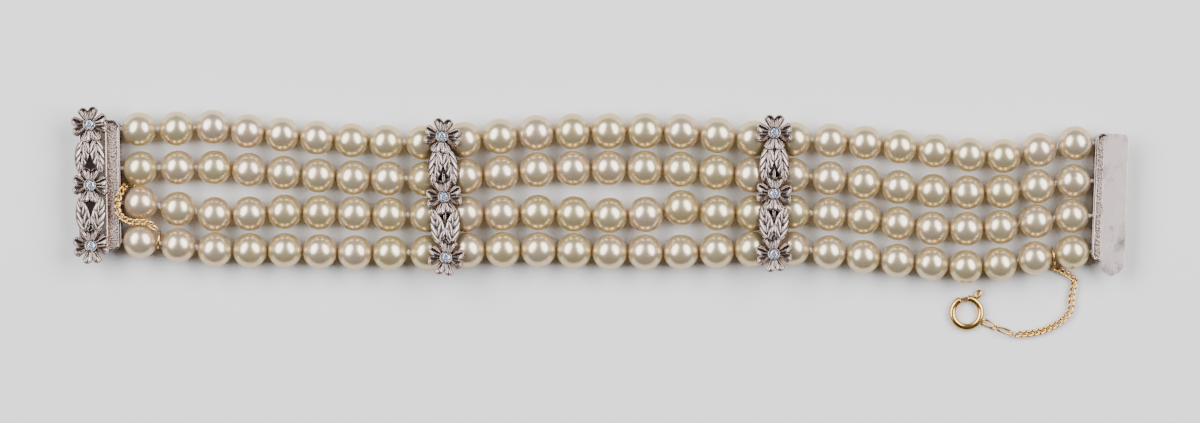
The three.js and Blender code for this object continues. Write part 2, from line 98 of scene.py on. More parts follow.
def add(tree, kind, settings=None, **inputs):
    """A node of that kind. An input named a_b is the socket "A B"; a node output as a value is linked."""
    made = tree.nodes.new(kind)
    for name, value in (settings or {}).items():
        setattr(made, name, value)
    for name, value in inputs.items():
        connect(tree, made, name.replace("_", " ").title(), value)
    return made


def connect(tree, node, socket, value):
    """Sets a socket, given by name or number, or links it where the value is another socket."""
    target = node.inputs[socket]
    if isinstance(value, bpy.types.NodeSocket):
        tree.links.new(value, target)
    else:
        target.default_value = value


def set_shader(shader, **constants):
    """Constants on the shader's own sockets."""
    for name, value in constants.items():
        shader.inputs[name.replace("_", " ")].default_value = value


def per_mm(size):
    """The scale of a pattern on Object coordinates, which are metres, whose cells measure size in mm."""
    return 1 / (size * MM)


def mix(tree, share, first, second, blend="MIX"):
    """Two colours mixed, as the socket of the result."""
    made = add(tree, "ShaderNodeMix", {"data_type": "RGBA", "blend_type": blend})
    for socket, value in ((0, share), (6, first), (7, second)):
        connect(tree, made, socket, value)
    return made.outputs[2]


def remap(tree, value, settings=None, **limits):
    """A value stretched from one range to another, as a socket."""
    return add(tree, "ShaderNodeMapRange", settings, Value=value, **limits).outputs["Result"]


def mottle(tree, place, size, detail, **more):
    """Noise whose patches measure size in millimetres, as a socket."""
    made = add(tree, "ShaderNodeTexNoise", Vector=place, Scale=per_mm(size), Detail=detail, **more)
    return made.outputs["Fac"]


def bump(tree, height, strength, depth):
    """Bump whose full height is depth in millimetres."""
    return add(tree, "ShaderNodeBump", Strength=strength, Distance=depth * MM, Height=height)


def set_ramp(ramp, stops):
    """Gives a ramp its colours, {position: hex}. The first and the last take the ramp's own ends."""
    elements = ramp.color_ramp.elements
    for position, code in stops.items():
        if position in (min(stops), max(stops)):
            stop = elements[0 if position == min(stops) else -1]
        else:
            stop = elements.new(position)
        stop.position = position
        stop.color = colour(code)


# %% [markdown]
# Nacre is thin layers of aragonite over a bead. Light goes a little way in and comes back warm, the
# layers throw most of it back like a satin metal, silvery in the middle and golden towards the rim, and
# give a faint pink and blue orient. So the shader is a cream body, mostly metallic, whose edge tint is
# gold, with subsurface light, a thin film for the orient and a soft coat for the gloss.
# Each pearl's own tone is an attribute of its points, and so are the worn spots, where the brown layer
# below comes through. Tiny pits and slow swellings are bump.

# %% Cultured pearl nacre
nacre, tree, shader = material("cultured_pearl_nacre")
place = add(tree, "ShaderNodeTexCoord").outputs["Object"]
tone = add(tree, "ShaderNodeAttribute", {"attribute_name": "pearl_tone"}).outputs["Fac"]
flaw = add(tree, "ShaderNodeAttribute", {"attribute_name": "worn_spot"}).outputs["Fac"]
tone_ramp = add(tree, "ShaderNodeValToRGB", Fac=tone)
set_ramp(tone_ramp, {0.0: "#e2d7b2", 0.35: "#e5d9bb", 0.65: "#e8dac3", 1.0: "#ebd8c8"})
orient = add(tree, "ShaderNodeValToRGB", Fac=mottle(tree, place, 0.4, 1.0))
set_ramp(orient, {0.38: "#e2ebff", 0.62: "#ffeee9"})
cloudy = mix(tree, mottle(tree, place, 3.5, 2.0), tone_ramp.outputs["Color"], colour("#f1e6d6"), "MULTIPLY")
lustre = mix(tree, 1.0, cloudy, orient.outputs["Color"], "MULTIPLY")
connect(tree, shader, "Base Color", mix(tree, flaw, lustre, colour("#8a6a48")))
PIT_SPACING = 1.6
pits = add(tree, "ShaderNodeTexVoronoi", {"feature": "F1"}, Vector=place, Scale=per_mm(PIT_SPACING))
rounded = {"interpolation_type": "SMOOTHSTEP"}
pit_shape = remap(tree, pits.outputs["Distance"], rounded, From_Min=0.02, From_Max=0.14)
swell = bump(tree, mottle(tree, place, 1.1, 3.0), 0.14, 0.05)
pitted = bump(tree, pit_shape, 0.35, 0.03)
connect(tree, pitted, "Normal", swell.outputs["Normal"])
connect(tree, shader, "Normal", pitted.outputs["Normal"])
set_shader(
    shader, Metallic=0.72, Roughness=0.3, IOR=1.5, Specular_Tint=colour("#d2ab4a"),
    Subsurface_Weight=0.3, Subsurface_Scale=0.5 * MM, Subsurface_Radius=(1.0, 0.72, 0.4),
    Coat_Weight=1.0, Coat_Roughness=0.18, Coat_IOR=1.8, Coat_Tint=colour("#f8f2d2"),
    Sheen_Weight=0.4, Sheen_Roughness=0.3, Sheen_Tint=colour("#ecd05c"),
    Thin_Film_Thickness=350.0, Thin_Film_IOR=1.6,
)
print("made", nacre.name)

# %% [markdown]
# The string is twisted silk, off-white and matt. Real silk is twisted finer than the picture can show, so
# about three bands to the millimetre stand for it: a wave texture raises them as bump and paints shade
# into them, darker in the grooves and lighter on the crests.

# %% Twisted silk
silk, tree, shader = material("twisted_silk")
place = add(tree, "ShaderNodeTexCoord").outputs["Object"]
twist = add(tree, "ShaderNodeTexWave", {"bands_direction": "DIAGONAL"}, Vector=place, Scale=per_mm(0.8))
twist_relief_and_shade = twist.outputs["Fac"]
connect(tree, shader, "Normal", bump(tree, twist_relief_and_shade, 0.5, 0.04).outputs["Normal"])
# Painted shade: the grooves of the twist are painted darker than its crests.
connect(tree, shader, "Base Color", mix(tree, twist_relief_and_shade, colour("#cfc6b4"), colour("#f3eee4")))
set_shader(shader, Roughness=0.75, Sheen_Weight=0.3)
print("made", silk.name)

# %% [markdown]
# White gold that has been worn for decades is warm grey rather than white, rubbed brighter in random
# patches, with a satin skin. A dark colour is mixed in by an attribute of the points, written where the
# petals, leaves and plates are shaped: tarnish in the cut lines and punch marks, and painted shade on the
# undersides, in the petals' dishes and throats, on the low parts of the leaves and on the plate under the
# ornament. Stains are darker blotches, and the fine scratches are stretched noise.

# %% Worn white gold
def gold_skin(name, clean, rubbed, shade_and_tarnish, roughness, grain, stretch=(1, 1, 1), stained=0.0):
    """A worn precious metal: its colours, how rough it is, its scratches in mm and how stained it is."""
    made, tree, shader = material(name)
    place = add(tree, "ShaderNodeTexCoord").outputs["Object"]
    tarnish_and_shade = add(tree, "ShaderNodeAttribute", {"attribute_name": "tarnish_and_shade"}).outputs["Fac"]
    drawn_out = add(tree, "ShaderNodeMapping", Vector=place, Scale=stretch)
    scratches = mottle(tree, drawn_out.outputs["Vector"], grain, 4.0)
    blotches = mottle(tree, place, 4.5, 5.0, Roughness=0.65)
    stain = remap(tree, blotches, From_Min=0.5, From_Max=0.75, To_Max=stained)
    drawn = remap(tree, scratches, From_Min=0.3, From_Max=0.7, To_Max=stained / 3)
    soil = add(tree, "ShaderNodeMath", {"operation": "ADD"})
    depth = add(tree, "ShaderNodeMath", {"operation": "ADD", "use_clamp": True})
    for node, first, second in ((soil, stain, drawn), (depth, soil.outputs["Value"], tarnish_and_shade)):
        connect(tree, node, 0, first)
        connect(tree, node, 1, second)
    worn = mix(tree, mottle(tree, place, 2.2, 3.0), colour(clean), colour(rubbed))
    # Stains, tarnish and painted shade all mix in the same dark colour.
    connect(tree, shader, "Base Color", mix(tree, depth.outputs["Value"], worn, colour(shade_and_tarnish)))
    rough = remap(tree, scratches, To_Min=roughness - 0.08, To_Max=roughness + 0.12)
    connect(tree, shader, "Roughness", rough)
    connect(tree, shader, "Normal", bump(tree, scratches, 0.3, 0.02).outputs["Normal"])
    set_shader(shader, Metallic=1.0)
    print("made", made.name)
    return made


white_gold = gold_skin("worn_white_gold_with_painted_shade", "#826d5f", "#bfa998", "#15100c", 0.25, 0.3)
satin_gold = gold_skin(
    "brushed_white_gold", "#eed0ba", "#ffecda", "#54473e", 0.4, 0.25, stretch=(1.2, 0.12, 1), stained=1.0,
)
stippled_gold = gold_skin("stippled_white_gold", "#92796a", "#bea592", "#241b16", 0.44, 0.2)
yellow_gold = gold_skin("polished_yellow_gold", "#cb9c4e", "#dfb870", "#5a3d18", 0.2, 0.5)

# %% [markdown]
# A diamond is clear and bends light strongly, with an index of refraction of 2.42. The surface is
# perfectly smooth, so the finish is plain glass with that index, and the facets do the rest.

# %% Diamond
brilliant, tree, shader = material("brilliant_cut_diamond")
set_shader(
    shader, Base_Color=colour("#f4f8ff"), Roughness=0.0, IOR=2.42, Transmission_Weight=0.9,
)
print("made", brilliant.name)

# %% [markdown]
# Every piece ends the same way: its mesh gets its materials, the object stays at the origin, it stands
# for its node, and it rides on that node's body.

# %% Finish a piece
SHADED_FLAT = 0.45


def into_scene(name, data):
    made = bpy.data.objects.new(name, data)
    bpy.context.scene.collection.objects.link(made)
    return made


def finish_piece(name, bm, materials, node, body=BODY, smooth=True):
    """Makes the object and places it in the frame. Faces wider than SHADED_FLAT are shaded flat."""
    for face in bm.faces:
        longest = max(edge.calc_length() for edge in face.edges)
        face.smooth = smooth and face.calc_area() < SHADED_FLAT * MM * longest
    mesh = bpy.data.meshes.new(name)
    bm.to_mesh(mesh)
    bm.free()
    for used in materials:
        mesh.materials.append(used)
    piece = into_scene(name, mesh)
    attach(piece, body)
    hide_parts(node)
    print(f"{name}: {len(mesh.vertices)} points, {len(mesh.polygons)} faces")


# %% [markdown]
# The shapes are made with bmesh, which changes a mesh by its points, edges and faces. Every piece needs
# the same few moves: to place a shape, to turn an outline all the way round an axis, to round edges, to
# point all faces outwards, and to add one shape to another.

# %% Shaping helpers
def moved(x, y=0.0, z=0.0):
    return Matrix.Translation((x, y, z))


def turn(degrees, axis="Z"):
    return Matrix.Rotation(math.radians(degrees), 4, axis)


def move_all(bm, matrix, verts=None):
    bmesh.ops.transform(bm, matrix=matrix, verts=verts or bm.verts[:])


def new_points(made):
    return [item for item in made["geom"] if isinstance(item, bmesh.types.BMVert)]


def face_out(bm):
    bmesh.ops.recalc_face_normals(bm, faces=bm.faces[:])


def spin_round(bm, outline, axis, steps, weld=1e-4):
    """Turns an outline all the way round the axis, with its seam and its poles welded."""
    bmesh.ops.spin(
        bm, geom=outline, cent=(0, 0, 0), axis=axis, dvec=(0, 0, 0), angle=2 * math.pi, steps=steps,
        use_merge=True,
    )
    bmesh.ops.remove_doubles(bm, verts=bm.verts[:], dist=weld)
    face_out(bm)


def round_edges(bm, edges, offset, segments):
    bmesh.ops.bevel(
        bm, geom=edges, offset=offset, segments=segments, profile=0.5, affect="EDGES", material=-1,
        offset_type="OFFSET",
    )


def drawn_line(bm, places):
    """A line of points joined by edges: (points, edges)."""
    points = [bm.verts.new(place) for place in places]
    return points, [bm.edges.new(pair) for pair in zip(points, points[1:])]


def take_in(target, bm):
    """Adds the shape in bm to the one in target."""
    mesh = bpy.data.meshes.new("part")
    bm.to_mesh(mesh)
    bm.free()
    target.from_mesh(mesh)
    bpy.data.meshes.remove(mesh)


# %% [markdown]
# The pearls lie in twelve runs of nine. A run is set by where its first and last pearl lie and by its
# place across the band at five pearls; the pearls between follow a smooth line. Knots open the string
# after some pearls, and the two jump rings of the safety chain need a little more room.

# %% Where the pearls lie
def table(columns, rows):
    """Rows as dictionaries. The columns' names are words in one string."""
    return [dict(zip(columns.split(), row)) for row in rows]


PEARLS_IN_RUN = 9
PEARL_CLEARANCE = 0.015
RUNS = table("strand part from_x to_x y", [
    (1, "box", -79.5, -30.7, [10.8, 10.9, 9.9, 8.9, 8.5]),
    (1, "middle", -23.7, 26.2, [9.0, 10.2, 10.5, 10.4, 9.2]),
    (1, "tongue", 33.1, 81.5, [9.1, 8.5, 7.1, 6.2, 8.4]),
    (2, "box", -79.3, -30.4, [4.1, 4.2, 3.3, 2.5, 2.3]),
    (2, "middle", -23.4, 25.9, [2.7, 3.8, 4.1, 3.9, 2.9]),
    (2, "tongue", 32.9, 81.2, [2.9, 1.7, 0.2, 0.1, 1.9]),
    (3, "box", -79.3, -30.1, [-1.9, -3.8, -3.4, -3.7, -4.0]),
    (3, "middle", -23.3, 26.1, [-3.8, -3.5, -4.0, -3.6, -3.6]),
    (3, "tongue", 32.9, 80.9, [-3.4, -4.4, -6.2, -6.0, -4.1]),
    (4, "box", -79.3, -30.0, [-8.4, -9.9, -10.0, -10.4, -10.4]),
    (4, "middle", -23.1, 25.9, [-10.0, -9.9, -10.3, -10.3, -9.8]),
    (4, "tongue", 32.9, 81.0, [-9.7, -11.1, -12.3, -12.4, -10.3]),
])
KNOT_GAPS = {"box": {1: 0.45, 2: 0.3, 8: 0.4}, "middle": {}, "tongue": {1: 0.35, 7: 0.15, 8: 0.25}}
RING_STRAND = 4
RING_GAPS = {"box": {1: 0.5}, "middle": {}, "tongue": {8: 0.55}}
NUDGES = {(1, "box", 3): 0.3, (3, "middle", 7): 0.9, (4, "tongue", 6): -0.3}


def smooth_line(stations, share):
    """The place at a share from 0 to 1 of a Catmull-Rom line through evenly spaced stations."""
    last = len(stations) - 1
    at = share * last
    start = min(int(at), last - 1)
    t = at - start
    p0, p1, p2, p3 = (stations[max(0, min(start + step, last))] for step in (-1, 0, 1, 2))
    v1 = (p2 - p0) / 2
    v2 = (p3 - p1) / 2
    cubic = (2 * p1 - 2 * p2 + v1 + v2) * t**3
    square = (-3 * p1 + 3 * p2 - 2 * v1 - v2) * t**2
    return cubic + square + v1 * t + p1


def pearls_of_run(run):
    """The pearls of one run, each with its centre, its radius and whether a knot or ring follows it."""
    gaps = dict(KNOT_GAPS[run["part"]])
    if run["strand"] == RING_STRAND:
        gaps.update(RING_GAPS[run["part"]])
    pitch = (run["to_x"] - run["from_x"] - sum(gaps.values())) / (PEARLS_IN_RUN - 1)
    radius = (pitch - PEARL_CLEARANCE) / 2
    pearls = []
    x = run["from_x"]
    for number in range(1, PEARLS_IN_RUN + 1):
        y = smooth_line(run["y"], (number - 1) / (PEARLS_IN_RUN - 1))
        y += NUDGES.get((run["strand"], run["part"], number), 0.0)
        has_ring = run["strand"] == RING_STRAND and number in RING_GAPS[run["part"]]
        gap = gaps.get(number, 0.0)
        centre = Vector((x, y, radius))
        pearls.append({"centre": centre, "radius": radius, "gap": gap, "ring": has_ring})
        x += pitch + gap
    return pearls


strands = {n: [p for run in RUNS if run["strand"] == n for p in pearls_of_run(run)] for n in (1, 2, 3, 4)}
print("pearls:", sum(len(pearls) for pearls in strands.values()))

# %% [markdown]
# One spin makes a whole strand, so the pearls and their silk are a single closed body. The profile runs
# along the string: a half circle for each pearl, the thin silk between, and a small bulge where there is
# a knot. Each ring of points is then moved sideways to its pearl's own line. No pearl is perfectly round,
# so each is pushed in and out a little by smooth noise.

# %% Profile of a strand
PEARL_SIDES = 40
PEARL_RINGS = 22
SILK_RADIUS = 0.35
KNOT_RADIUS = 0.52
SILK_IN_WALL = 0.8
OUT_OF_ROUND = 0.05


def silk_between(before, after):
    """Where the silk between two pearls starts and ends along X, and the point half way."""
    start = before["centre"].x + before["radius"]
    end = after["centre"].x - after["radius"]
    middle = (before["centre"] + after["centre"]) / 2
    return start, end, middle


def strand_rings(pearls):
    """Rows along the string: the place in x, the ring's radius, its centre and the pearl it is on."""
    rows = []

    def silk_row(x, radius, centre):
        rows.append({"x": x, "radius": radius, "y": centre.y, "z": centre.z, "pearl": None})

    silk_end = ((0.0, SILK_RADIUS), (SILK_IN_WALL, SILK_RADIUS), (SILK_IN_WALL, 0.0))
    first = pearls[0]
    for out, radius in reversed(silk_end):
        silk_row(first["centre"].x - first["radius"] - out, radius, first["centre"])
    for number, pearl in enumerate(pearls):
        lowest = math.asin(SILK_RADIUS / pearl["radius"])
        for ring in range(PEARL_RINGS + 1):
            angle = lowest + (math.pi - 2 * lowest) * ring / PEARL_RINGS
            rows.append({
                "x": pearl["centre"].x - pearl["radius"] * math.cos(angle),
                "radius": pearl["radius"] * math.sin(angle),
                "y": pearl["centre"].y, "z": pearl["centre"].z, "pearl": number,
            })
        if number + 1 == len(pearls):
            for out, radius in silk_end:
                silk_row(pearl["centre"].x + pearl["radius"] + out, radius, pearl["centre"])
            break
        start, end, middle = silk_between(pearl, pearls[number + 1])
        knotted = pearl["gap"] > 0.2 and not pearl["ring"]
        profile = [SILK_RADIUS, KNOT_RADIUS, KNOT_RADIUS, SILK_RADIUS] if knotted else [SILK_RADIUS] * 2
        for step, radius in enumerate(profile):
            silk_row(start + (end - start) * step / (len(profile) - 1), radius, middle)
    return rows


rows = strand_rings(strands[1])
print("rings along a strand:", len(rows))

# %% [markdown]
# Old pearls show where they have been worn. The larger marks of the photograph are set in a short table:
# the pearl, where the mark is on it in shares of its radius, how wide it is and how deep, and how brown.

# %% Worn spots
WORN_SPOTS = table("strand pearl x y wide deep brown", [
    (2, 24, -0.05, 0.2, 0.55, 0.1, 0.25),
    (2, 27, 0.0, 0.35, 0.4, 0.12, 0.6),
    (3, 22, 0.1, 0.25, 0.35, 0.1, 0.1),
    (1, 14, 0.0, 0.1, 0.3, 0.08, 0.3),
    (1, 15, 0.1, 0.0, 0.25, 0.07, 0.3),
    (1, 16, -0.1, 0.1, 0.25, 0.07, 0.25),
    (3, 14, 0.15, -0.1, 0.3, 0.08, 0.35),
    (3, 6, 0.0, 0.05, 0.3, 0.08, 0.3),
    (4, 25, -0.3, -0.1, 0.2, 0.08, 0.4),
])


def spots_on(strand, pearl):
    return [spot for spot in WORN_SPOTS if spot["strand"] == strand and spot["pearl"] == pearl + 1]


def dent(spot, outward, radius):
    """(how deep, how brown) a spot is at the point that lies outward from the pearl's centre."""
    top = Vector((spot["x"], spot["y"], math.sqrt(1 - spot["x"] ** 2 - spot["y"] ** 2)))
    away = (outward - top).length * radius / spot["wide"]
    ragged = 1 + 0.5 * noise.noise(outward * 6)
    share = math.exp(-((away * ragged) ** 2))
    return spot["deep"] * share, spot["brown"] * share


print("worn spots:", len(WORN_SPOTS))

# %% [markdown]
# A strand is its profile spun about X. Its points are then moved: sideways to their own pearl's line, and
# in or out where the pearl is out of round or worn. A fixed seed gives each pearl its tone by chance, and
# the faces on the silk get the second material.

# %% Make the four strands
def make_strand(strand, pearls):
    rows = strand_rings(pearls)
    bm = bmesh.new()
    row_of = bm.verts.layers.int.new("row")
    tone = bm.verts.layers.float.new("pearl_tone")
    worn = bm.verts.layers.float.new("worn_spot")
    points, edges = drawn_line(bm, [(row["x"], 0, row["radius"]) for row in rows])
    for number, point in enumerate(points):
        point[row_of] = number
    spin_round(bm, points + edges, (1, 0, 0), PEARL_SIDES, weld=0.001)
    chance = random.Random(100 + strand)
    tones = [chance.random() for _ in pearls]
    for face in bm.faces:
        on_silk = any(rows[vert[row_of]]["pearl"] is None for vert in face.verts)
        face.material_index = int(on_silk)
    for vert in bm.verts:
        row = rows[vert[row_of]]
        vert.co += Vector((0, row["y"], row["z"]))
        number = row["pearl"]
        if number is None:
            continue
        pearl = pearls[number]
        outward = (vert.co - pearl["centre"]).normalized()
        side = 1 - abs(outward.x) ** 8
        push = OUT_OF_ROUND * side * noise.noise(outward * 1.3 + Vector((strand, number, 0)) * 7)
        brown = 0.0
        for spot in spots_on(strand, number):
            depth, share = dent(spot, outward, pearl["radius"])
            push -= depth
            brown += share
        vert.co += outward * min(push, 0.01)
        vert[tone] = tones[number]
        vert[worn] = min(brown, 1.0)
    move_all(bm, BAND_TO_FRAME)
    bm.verts.layers.int.remove(row_of)
    name = f"pearl_strand_{strand}"
    finish_piece(f"{name}_nacre", bm, [nacre, silk], name)


for strand, pearls in strands.items():
    make_strand(strand, pearls)

# %% [markdown]
# ## The cast flowers and leaves
# A petal is heart-shaped and cupped. It could be sculpted, but a formula keeps all of them alike and easy
# to change. A flat grid is bent so that its far row draws two half circles with a notch between them.
# The height makes a dish with a raised rim of each lobe, and cuts a groove and two strokes of the graver.
# The cuts also write the dark attribute of the points as tarnish, and the dish, the throat by the collet
# and the underside write painted shade into it. The grid is extruded down for its thickness.

# %% A heart-shaped petal
PETAL_GRID = {"columns": 36, "rows": 22}
PETAL = {"start": 0.62, "notch": 2.22, "lobe": 0.86, "base_half": 0.46, "full_half": 1.72}
PETAL_LIFT = 0.1
PETAL_THICKNESS = 0.42


def mound(value, middle, width):
    """A smooth bump: 1 where value is at the middle, fading to nothing about twice the width away."""
    return math.exp(-(((value - middle) / width) ** 2))


def relief_grid(columns, rows, shape, drop):
    """A closed relief: shape(across, along) gives a point and its share of tarnish and painted shade; drop
    is its underside.
    """
    bm = bmesh.new()
    bmesh.ops.create_grid(bm, x_segments=columns, y_segments=rows, size=1)
    tarnish_and_shade = bm.verts.layers.float.new("tarnish_and_shade")
    for vert in bm.verts:
        across, along = vert.co.x, (vert.co.y + 1) / 2
        point, depth = shape(across, along)
        vert.co = point
        vert[tarnish_and_shade] = depth
    made = bmesh.ops.extrude_face_region(bm, geom=bm.faces[:])
    for vert in new_points(made):
        vert.co.z = min(vert.co.z - drop, vert.co.z * 0.5 - drop)
        # The underside is painted dark as shade.
        vert[tarnish_and_shade] = 0.6
    bmesh.ops.remove_doubles(bm, verts=bm.verts[:], dist=0.002)
    face_out(bm)
    return bm


def petal_point(across, along):
    """The petal points along +Y. Its two lobes are rounded, cupped, and parted by a notch."""
    swing = math.pi * abs(across)
    share = (1 - math.cos(swing)) / 2
    half = PETAL["base_half"] + (PETAL["full_half"] - PETAL["base_half"]) * along**0.7
    reach = PETAL["notch"] + PETAL["lobe"] * math.sin(swing)
    x = math.copysign(half * share, across)
    y = PETAL["start"] + (reach - PETAL["start"]) * along
    from_edge = min((1 - share) * half, (1 - along) * (reach - PETAL["start"]))
    rim = mound(from_edge, 0.2, 0.13)
    dish = mound(share, 0.52, 0.3) * mound(along, 0.72, 0.24)
    groove = mound(x, 0.0, 0.09) * (0.35 + 0.65 * along)
    graver = mound(share, 0.5, 0.08) * mound(along, 0.42, 0.2)
    edge = mound(from_edge, 0.0, 0.09)
    throat = mound(along, 0.0, 0.2)
    z = PETAL_LIFT * y + PETAL_THICKNESS
    z += 0.24 * rim - 0.1 * dish - 0.2 * groove - 0.16 * graver - 0.2 * edge
    # The dark share: tarnish in the groove and the graver cuts, painted shade in the throat by the collet
    # and in the dish.
    return Vector((x, y, z)), min(1.0, 0.95 * groove + 0.9 * graver + 0.85 * throat + 0.3 * dish)


petal_mesh = relief_grid(PETAL_GRID["columns"], PETAL_GRID["rows"], petal_point, PETAL_THICKNESS)
print("petal:", len(petal_mesh.faces), "faces")

# %% [markdown]
# A leaf is the same kind of grid. It is widest a little before the middle, rounded at the flower it grows
# from and narrower at its tip, with a groove for the midrib and steep grooves for the side veins. On the
# real one they were cut by eye with a graver, so noise shifts them a little. Their depth is a guess.

# %% A veined leaf
LEAF_GRID = {"columns": 24, "rows": 64}
LEAF = {"length": 5.9, "half": 1.32, "thickness": 0.5, "away": 1.32, "along": 5.0}
LEAF_SPLAY = 9
LEAF_ROLL = 14
VEINS = 4.1
VEIN_SLOPE = 1.45


def leaf_point(across, along):
    """The leaf points along +Y, with its middle at the origin."""
    half = LEAF["half"] * max(math.sin(math.pi * (0.07 + 0.9 * along**0.82)), 0.04) ** 0.72
    wander = noise.noise(Vector((across * 1.5, along * 3, 7)))
    midrib = mound(across, 0.08 * wander, 0.085)
    phase = (along * VEINS - VEIN_SLOPE * abs(across) + 0.25 * wander + 0.1 * (across > 0)) % 1.0
    vein = mound(phase, 0.5, 0.085) * (1 - abs(across) ** 6) * (1 - midrib)
    swell = mound(phase, 0.0, 0.3) + mound(phase, 1.0, 0.3)
    edge = abs(across) ** 8
    z = LEAF["thickness"] + 0.24 * (1 - across * across) + 0.03 * swell
    z -= 0.16 * midrib + 0.14 * vein + 0.16 * edge
    y = (along - 0.5) * LEAF["length"]
    # The dark share: tarnish in the midrib and the veins, painted shade on the turned-down edge and on the
    # low parts between the veins.
    return Vector((across * half, y, z)), min(1.0, 0.95 * midrib + vein + 0.4 * edge + 0.12 * (1 - swell))


leaf_mesh = relief_grid(LEAF_GRID["columns"], LEAF_GRID["rows"], leaf_point, LEAF["thickness"])
print("leaf:", len(leaf_mesh.faces), "faces")

# %% [markdown]
# The collet is a turned cup, so it is a profile spun about its own axis. The stones are round brilliants:
# an eight-sided table, a ring of points half way down the crown, the sixteen-sided girdle, the pavilion
# and the culet. The convex hull of those points is the cut stone, flat facets and all.

# %% Collet and brilliant
COLLET_PROFILE = [
    (0, 0), (0.95, 0), (1.0, 0.7), (1.03, 1.2), (1.05, 1.28), (1.0, 1.33), (0.9, 1.31), (0.86, 1.24),
    (0.8, 1.08), (0.0, 0.5),
]
STONE = {"radius": 0.79, "girdle": 1.2, "crown": 0.24, "pavilion": 0.68, "table": 0.44}


def turned(profile, sides):
    """A closed profile of (radius, height) rows that starts and ends on Z, spun about Z."""
    bm = bmesh.new()
    points, edges = drawn_line(bm, [(radius, 0, height) for radius, height in profile])
    spin_round(bm, points + edges, (0, 0, 1), sides)
    return bm


def brilliant_cut():
    bm = bmesh.new()
    radius, girdle, flat = STONE["radius"], STONE["girdle"], STONE["table"]
    crown_top, culet = girdle + STONE["crown"], girdle - STONE["pavilion"]
    rings = table("radius z count turn", [
        (flat, crown_top, 8, 0.5),
        ((radius + flat) * 0.52, girdle + STONE["crown"] * 0.6, 8, 0.0),
        (radius, girdle + 0.015, 16, 0.0),
        (radius, girdle - 0.015, 16, 0.0),
        (radius * 0.42, girdle - STONE["pavilion"] * 0.6, 8, 0.5),
        (0.0, culet, 1, 0.0),
    ])
    for ring in rings:
        for number in range(ring["count"]):
            angle = 2 * math.pi * (number + ring["turn"]) / ring["count"]
            reach = ring["radius"]
            bm.verts.new((reach * math.cos(angle), reach * math.sin(angle), ring["z"]))
    bmesh.ops.convex_hull(bm, input=bm.verts[:])
    bmesh.ops.dissolve_limit(bm, angle_limit=math.radians(1), verts=bm.verts[:], edges=bm.edges[:])
    face_out(bm)
    return bm


collet_mesh = turned(COLLET_PROFILE, 32)
stone_mesh = brilliant_cut()
print("collet:", len(collet_mesh.faces), "faces; stone:", len(stone_mesh.faces), "facets")

# %% [markdown]
# Three flowers stand in a row with a pair of leaves in each space between them. The same ornament is on
# both bars and on the clasp; only the turns of the flowers differ, as the maker left them.

# %% The ornament of a bar or clasp
FLOWER_PITCH = 10.4
PETALS = 4
STONE_TURN = 17.2


def put(target, source, matrix):
    """Adds a copy of source, moved by matrix, to target."""
    copy = source.copy()
    move_all(copy, matrix)
    take_in(target, copy)


def metal_mesh():
    bm = bmesh.new()
    bm.verts.layers.float.new("tarnish_and_shade")
    return bm


def add_ornament(target, flower_turns, height):
    for number, flower_turn in enumerate(flower_turns):
        centre = moved(0, (1 - number) * FLOWER_PITCH, height)
        put(target, collet_mesh, centre)
        for petal in range(PETALS):
            put(target, petal_mesh, centre @ turn(flower_turn + 360 * petal / PETALS))
    for end in (0, 180):
        for side in (1, -1):
            bent = turn(-side * LEAF_SPLAY) @ turn(side * LEAF_ROLL, "Y")
            beside = moved(side * LEAF["away"], -LEAF["along"]) @ bent
            put(target, leaf_mesh, moved(0, 0, height) @ turn(end) @ beside)


def local_to_frame(place):
    """The matrix from a piece's own millimetres to the frame's metres."""
    at = Matrix.Translation(on_band(place["x"], place["y"]))
    return at @ turn(place["turn"]) @ Matrix.Diagonal((MM, MM, MM, 1))


def add_stones(name, place, height):
    for number, label in enumerate(("top", "middle", "bottom")):
        bm = bmesh.new()
        seat = moved(0, (1 - number) * FLOWER_PITCH, height)
        put(bm, stone_mesh, seat @ turn(number * STONE_TURN))
        move_all(bm, local_to_frame(place))
        node = f"diamond_{name}_{label}"
        finish_piece(f"{node}_cut", bm, [brilliant], node, smooth=False)


# %% [markdown]
# Plates and boxes start as a cube and rods as a cone tool with two equal radii. Holes are cut with a
# boolean modifier, the plain way to put a round hole in a plate. Its result is read back as a new mesh,
# and the two helpers are deleted, so that nothing of them stays in the scene.

# %% Cutting and boxes
def block(low, high, bevel=0.0, segments=2):
    """A box between two corners, with its edges rounded."""
    bm = bmesh.new()
    bmesh.ops.create_cube(bm, size=1)
    low, high = Vector(low), Vector(high)
    size = high - low
    move_all(bm, Matrix.Translation((low + high) / 2) @ Matrix.Diagonal((*size, 1)))
    if bevel:
        round_edges(bm, bm.edges[:], bevel, segments)
    return bm


def rod(start, end, radius, sides=20):
    """A round rod between two points."""
    bm = bmesh.new()
    start, end = Vector(start), Vector(end)
    along = end - start
    bmesh.ops.create_cone(
        bm, cap_ends=True, segments=sides, radius1=radius, radius2=radius, depth=along.length,
    )
    aimed = Vector((0, 0, 1)).rotation_difference(along).to_matrix().to_4x4()
    move_all(bm, Matrix.Translation((start + end) / 2) @ aimed)
    return bm


def temporary(bm):
    mesh = bpy.data.meshes.new("temporary")
    bm.to_mesh(mesh)
    bm.free()
    return into_scene("temporary", mesh)


def boolean(bm, other, operation):
    """The boolean of two closed shapes, as a new bmesh. Both are used up."""
    base, tool = temporary(bm), temporary(other)
    cut = base.modifiers.new("cut", "BOOLEAN")
    cut.object, cut.operation, cut.solver = tool, operation, "EXACT"
    evaluated = base.evaluated_get(bpy.context.evaluated_depsgraph_get())
    made = bmesh.new()
    made.from_mesh(evaluated.to_mesh())
    evaluated.to_mesh_clear()
    for used in (base, tool):
        mesh = used.data
        bpy.data.objects.remove(used)
        bpy.data.meshes.remove(mesh)
    return made


